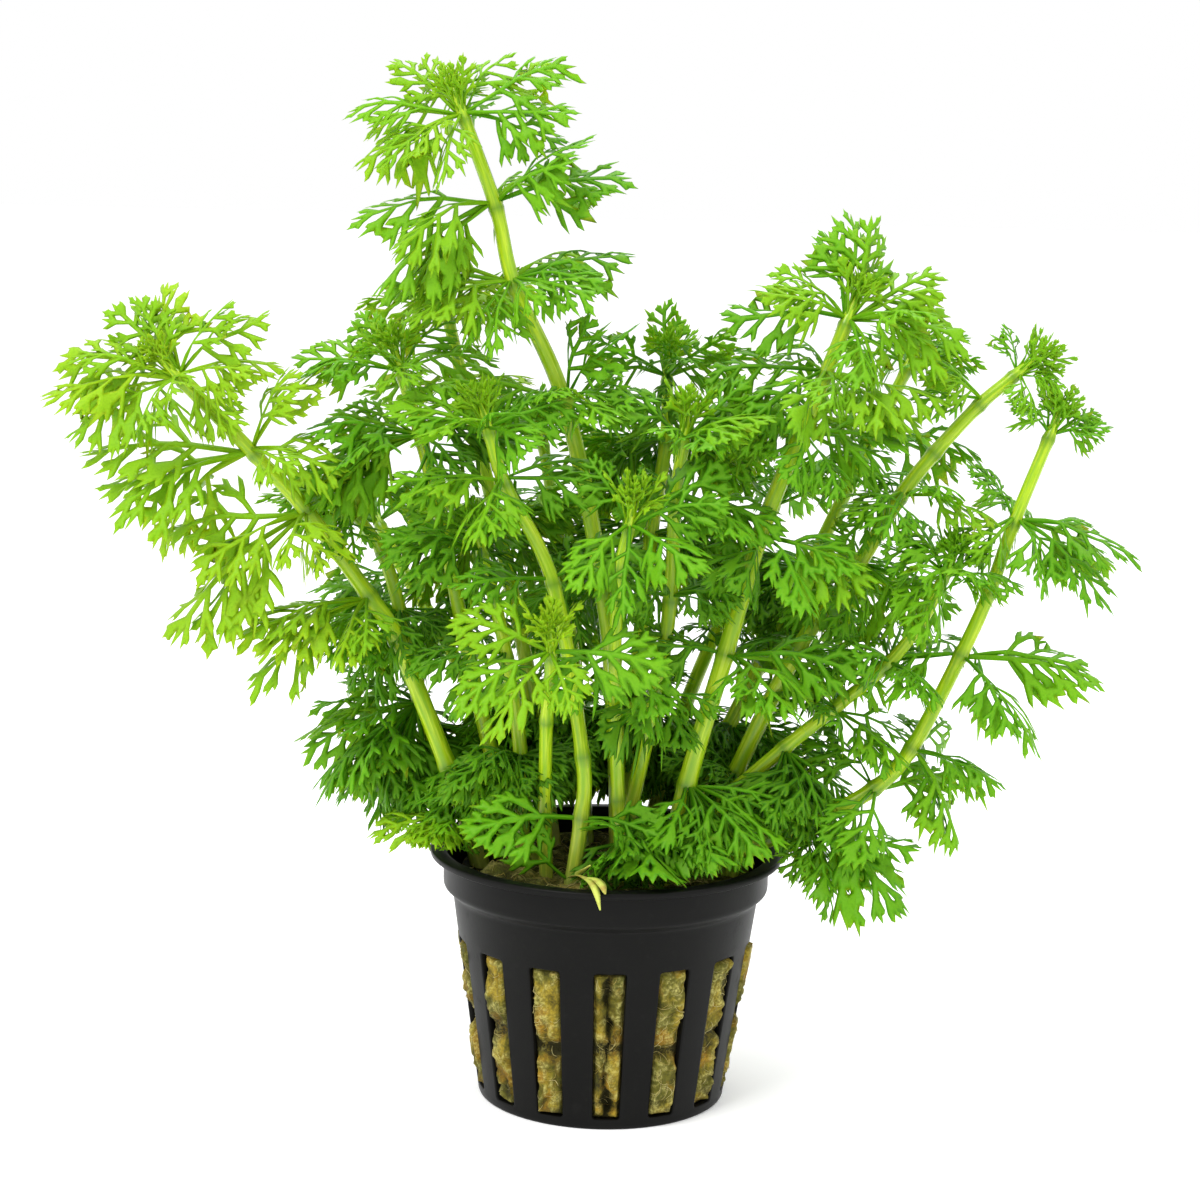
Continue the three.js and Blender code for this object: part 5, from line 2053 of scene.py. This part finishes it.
    def _crown(self, turn: float, share: float) -> tuple[Array, float, float, float]:
        """Gives a point of the plug's top.

        Args:
            turn: its angle.
            share: its distance from the axis, as a share of the plug's radius.

        Returns:
            The point and its marks, as for the side.
        """
        radius = self.limit * share
        x, y = radius * math.cos(turn), radius * math.sin(turn)
        lump = perlin.noise(Vector((x * 0.17, y * 0.17, 2.0)))
        crease = 1 - 3.0 * abs(perlin.noise(Vector((x * 0.3, y * 0.3, 9.0))))
        crinkle = 1 - 3.0 * abs(perlin.noise(Vector((x * 0.9, y * 0.9, 4.0))))
        edge = min(1.0, (1 - share) * 8)
        pile = max(0.0, math.cos(turn - math.radians(self.pile_turn))) ** 3
        pile *= math.exp(-((share - self.pile_share) / 0.2) ** 2)
        z = self.top + edge * (1.1 * lump + 0.5 * crease + 0.25 * crinkle - 0.3 + pile * (2.2 + 2.5 * lump))
        # Painted shade in the low places of the top, and a painted highlight on its crests.
        hollow = float(np.clip(0.45 - 0.5 * crease - 0.5 * lump, 0, 0.9))
        return np.array([x, y, z]), hollow, max(0.0, crease * 0.6 + crinkle * 0.5 - 0.35), 0.7

    def _fibres(self, shape: Shape) -> None:
        """Adds loose fibres in the slots and on top.

        Args:
            shape: the shape.
        """
        draw = self.random.uniform
        for _ in range(self.slot_fibres):
            line = self._slot_fibre()
            self._strand(shape, line, draw(*self.slot_girths))
        for _ in range(self.top_fibres):
            line = self._top_fibre()
            self._strand(shape, line, draw(*self.top_girths))

    def _slot_fibre(self) -> Array:
        """Lays a fibre on the wool in one of the slots.

        Returns:
            Its points.
        """
        draw, pot = self.random.uniform, self.pot
        bay = int(self.random.integers(pot.slots))
        z = draw(*self.slot_zone)
        half = pot.slot_half(z)
        turn = pot.front + self.pitch * bay + draw(-half, half) / pot.outer(z)
        length = draw(*self.slot_lengths)
        slope = draw(-self.slot_slope, self.slot_slope) + (math.pi / 2 if draw() < self.upright_chance else 0)
        points = []
        for s in np.linspace(-0.5, 0.5, self.fibre_points):
            way = slope + 1.1 * s * draw(0.7, 1.0)
            height = float(np.clip(z + length * s * math.sin(way), *self.slot_limits))
            reach = pot.slot_half(height) - 0.12
            off = (turn - pot.front - self.pitch * bay) * pot.outer(z) + length * s * math.cos(way)
            here = pot.front + self.pitch * bay + float(np.clip(off, -reach, reach)) / pot.outer(height)
            point = self._side(here, height)[0]
            out = unit(np.array([point[0], point[1], 0.0]))
            points.append(point + out * (0.03 + 0.12 * math.cos(math.pi * s) * draw(0.4, 1.0)))
        return np.array(points)

    def _top_fibre(self) -> Array:
        """Lays a fibre on the wool's top.

        Returns:
            Its points.
        """
        draw = self.random.uniform
        turn, share = draw(0, 6.283), draw(0.1, 0.97) ** 0.6
        length, way = draw(*self.top_lengths), draw(0, 6.283)
        centre = self._crown(turn, share)[0]
        points = []
        for s in np.linspace(-0.5, 0.5, self.fibre_points):
            x = centre[0] + length * s * math.cos(way + s)
            y = centre[1] + length * s * math.sin(way + s)
            point = self._crown(math.atan2(y, x), min(math.hypot(x, y) / self.limit, 0.98))[0]
            points.append(point + np.array([0, 0, 0.08 + 0.3 * math.cos(math.pi * s) * draw(0.3, 1)]))
        return np.array(points)

    def _strand(self, shape: Shape, points: Array, radius: float) -> None:
        """Adds one fibre along a line of points.

        Args:
            shape: the shape.
            points: the line.
            radius: the fibre's radius at its middle.
        """
        along = unit(np.gradient(points, axis=0) + 1e-9)
        first = unit(np.cross(along, [0.2, 0.3, 1.0]))
        turn = 2 * math.pi * np.arange(self.fibre_sides) / self.fibre_sides
        count = len(points)
        girth = radius * np.sin(math.pi * (np.arange(count) + 0.35) / (count - 0.3)) ** 0.5
        skin = tube(points, along, first, girth[:, None], turn)
        shape.cap(shape.add_rings(skin, 1, stain=float(self.random.uniform())), 1)


# Dry leaf


@dataclass
class Sprout:
    """A pale forked scrap of leaf that lies from the front stem's foot over the pot's rim."""

    finish: Material
    lines: tuple[tuple[Triple, ...], ...] = (
        ((-5.4, -15.6, 38.6), (-4.4, -19.5, 40.0), (-3.1, -24.0, 40.9), (-2.0, -27.6, 41.0),
         (-1.3, -29.3, 39.7), (-0.8, -29.6, 37.6)),
        ((-3.1, -24.0, 40.9), (-1.6, -26.4, 41.4), (-0.6, -28.4, 41.0), (-0.1, -29.1, 39.9)),
        ((-4.4, -19.5, 40.0), (-3.6, -21.6, 41.4), (-2.4, -23.2, 42.6)),
    )
    width: float = 0.75
    thick: float = 0.14
    steps: int = 5

    def build(self) -> None:
        """Makes each branch as a thin blade with a ridge, pointed at its tip."""
        shape = Shape()
        for line in self.lines:
            self._blade(shape, self._curved(np.array(line)))
        place(shape.mesh("sprout", [self.finish]), Slot.LEAF, [])

    def _curved(self, points: Array) -> Array:
        """Runs a smooth line through points.

        Args:
            points: the points.

        Returns:
            The line's points.
        """
        ends = np.concatenate([[2 * points[0] - points[1]], points, [2 * points[-1] - points[-2]]])
        line = []
        for a, b, c, d in zip(ends, ends[1:], ends[2:], ends[3:]):
            for t in np.arange(self.steps) / self.steps:
                bend = 2 * a - 5 * b + 4 * c - d + t * (3 * (b - c) + d - a)
                line.append(b + 0.5 * t * (c - a + t * bend))
        return np.array(line + [points[-1]])

    def _blade(self, shape: Shape, points: Array) -> None:
        """Adds a blade along a line.

        Args:
            shape: the shape.
            points: the line.
        """
        along = unit(np.gradient(points, axis=0))
        side = unit(np.cross(along, [0.25, -0.5, 1.0]))
        over = np.cross(side, along)
        share = np.arange(len(points)) / (len(points) - 1)
        half = (self.width * np.sin(math.pi * (0.12 + 0.85 * share)) ** 0.7)[:, None]
        shape.cap(shape.add_rings(np.stack([points + side * half, points + over * self.thick,
                                            points - side * half, points - over * self.thick], 1)))


# Studio


@dataclass(frozen=True)
class SoftBox:
    """A soft box: its place, the point that it faces, its side in millimetres and its power in watts."""

    name: str
    spot: Triple
    target: Triple
    size: float
    power: float

    def build(self) -> None:
        """Adds the light to the scene."""
        data = bpy.data.lights.new(self.name, "AREA")
        data.shape = "SQUARE"
        data.size = self.size * MM
        data.energy = self.power
        lamp = bpy.data.objects.new(self.name, data)
        lamp.location = Vector(self.spot) * MM
        lamp.rotation_euler = (Vector(self.target) - Vector(self.spot)).to_track_quat("-Z", "Y").to_euler()
        bpy.context.scene.collection.objects.link(lamp)


@dataclass
class Studio:
    """A pale floor, soft light and the camera of the photograph.

    The camera's place is in millimetres and its angles are in degrees. Its focal length is in pixels of the
    picture, whose width is the sensor's.
    """

    floor: Material
    floor_half: float = 3000.0
    boxes: tuple[SoftBox, ...] = (
        SoftBox("key", (-300, -380, 640), (0, 0, 70), 300, 3.3),
        SoftBox("fill", (460, -300, 380), (0, 0, 70), 380, 0.5),
        SoftBox("top", (60, 260, 640), (0, 0, 90), 420, 2.0),
    )
    eye: Triple = (-1.94, -445.0, 157.0)
    pitch: float = 10.0
    roll: float = 1.4
    focal: float = 2932.0
    picture: float = 1200.0
    sensor: float = 36.0
    view_range: Pair = (0.01, 20.0)

    def build(self) -> None:
        """Makes the floor, the lights, the white surroundings and the camera."""
        shape, half = Shape(), self.floor_half
        shape.add(np.array([(-half, -half, 0), (half, -half, 0), (half, half, 0), (-half, half, 0)]),
                  np.array([[0, 1, 2, 3]]))
        shape.mesh("studio_floor", [self.floor])
        for box in self.boxes:
            box.build()
        world = bpy.data.worlds.new("studio")
        world.use_nodes = True
        white = world.node_tree.nodes["Background"]
        white.inputs["Color"].default_value = (1, 1, 1, 1)
        white.inputs["Strength"].default_value = 1.0
        bpy.context.scene.world = world
        bpy.context.scene.view_settings.view_transform = "Standard"
        self._camera()

    def _camera(self) -> None:
        """Adds the camera, pitched down and rolled as the photograph's."""
        lean, roll = math.radians(self.pitch), math.radians(self.roll)
        ahead = Vector((0, math.cos(lean), -math.sin(lean)))
        level = Vector((1, 0, 0))
        upright = Vector((0, math.sin(lean), math.cos(lean)))
        right = level * math.cos(roll) + upright * math.sin(roll)
        up = upright * math.cos(roll) - level * math.sin(roll)
        data = bpy.data.cameras.new("camera")
        data.sensor_width = self.sensor
        data.lens = self.focal / self.picture * self.sensor
        data.clip_start, data.clip_end = self.view_range
        camera = bpy.data.objects.new("camera", data)
        camera.matrix_world = Matrix.Translation(Vector(self.eye) * MM) @ Matrix(
            (right, up, -ahead)).transposed().to_4x4()
        bpy.context.scene.collection.objects.link(camera)
        bpy.context.scene.camera = camera


def main() -> None:
    """Builds the studio, the pot, the rockwool and every shoot."""
    logging.basicConfig(level=logging.INFO, format="%(name)s: %(message)s")
    Studio(StudioFloor().material()).build()
    pot = NetPot(PotPlastic().material())
    pot.build()
    Rockwool(pot, RockwoolFelt().material(), WoolFibre().material()).build()
    press = LeafPress.stocked()
    stem_finish, leaf_finish = StemSkin().material(), LeafSkin().material()
    for shoot in SHOOTS:
        ShootMaker(shoot, press, stem_finish, leaf_finish).build()
    Sprout(SproutSkin().material()).build()


if __name__ == "__main__":
    main()
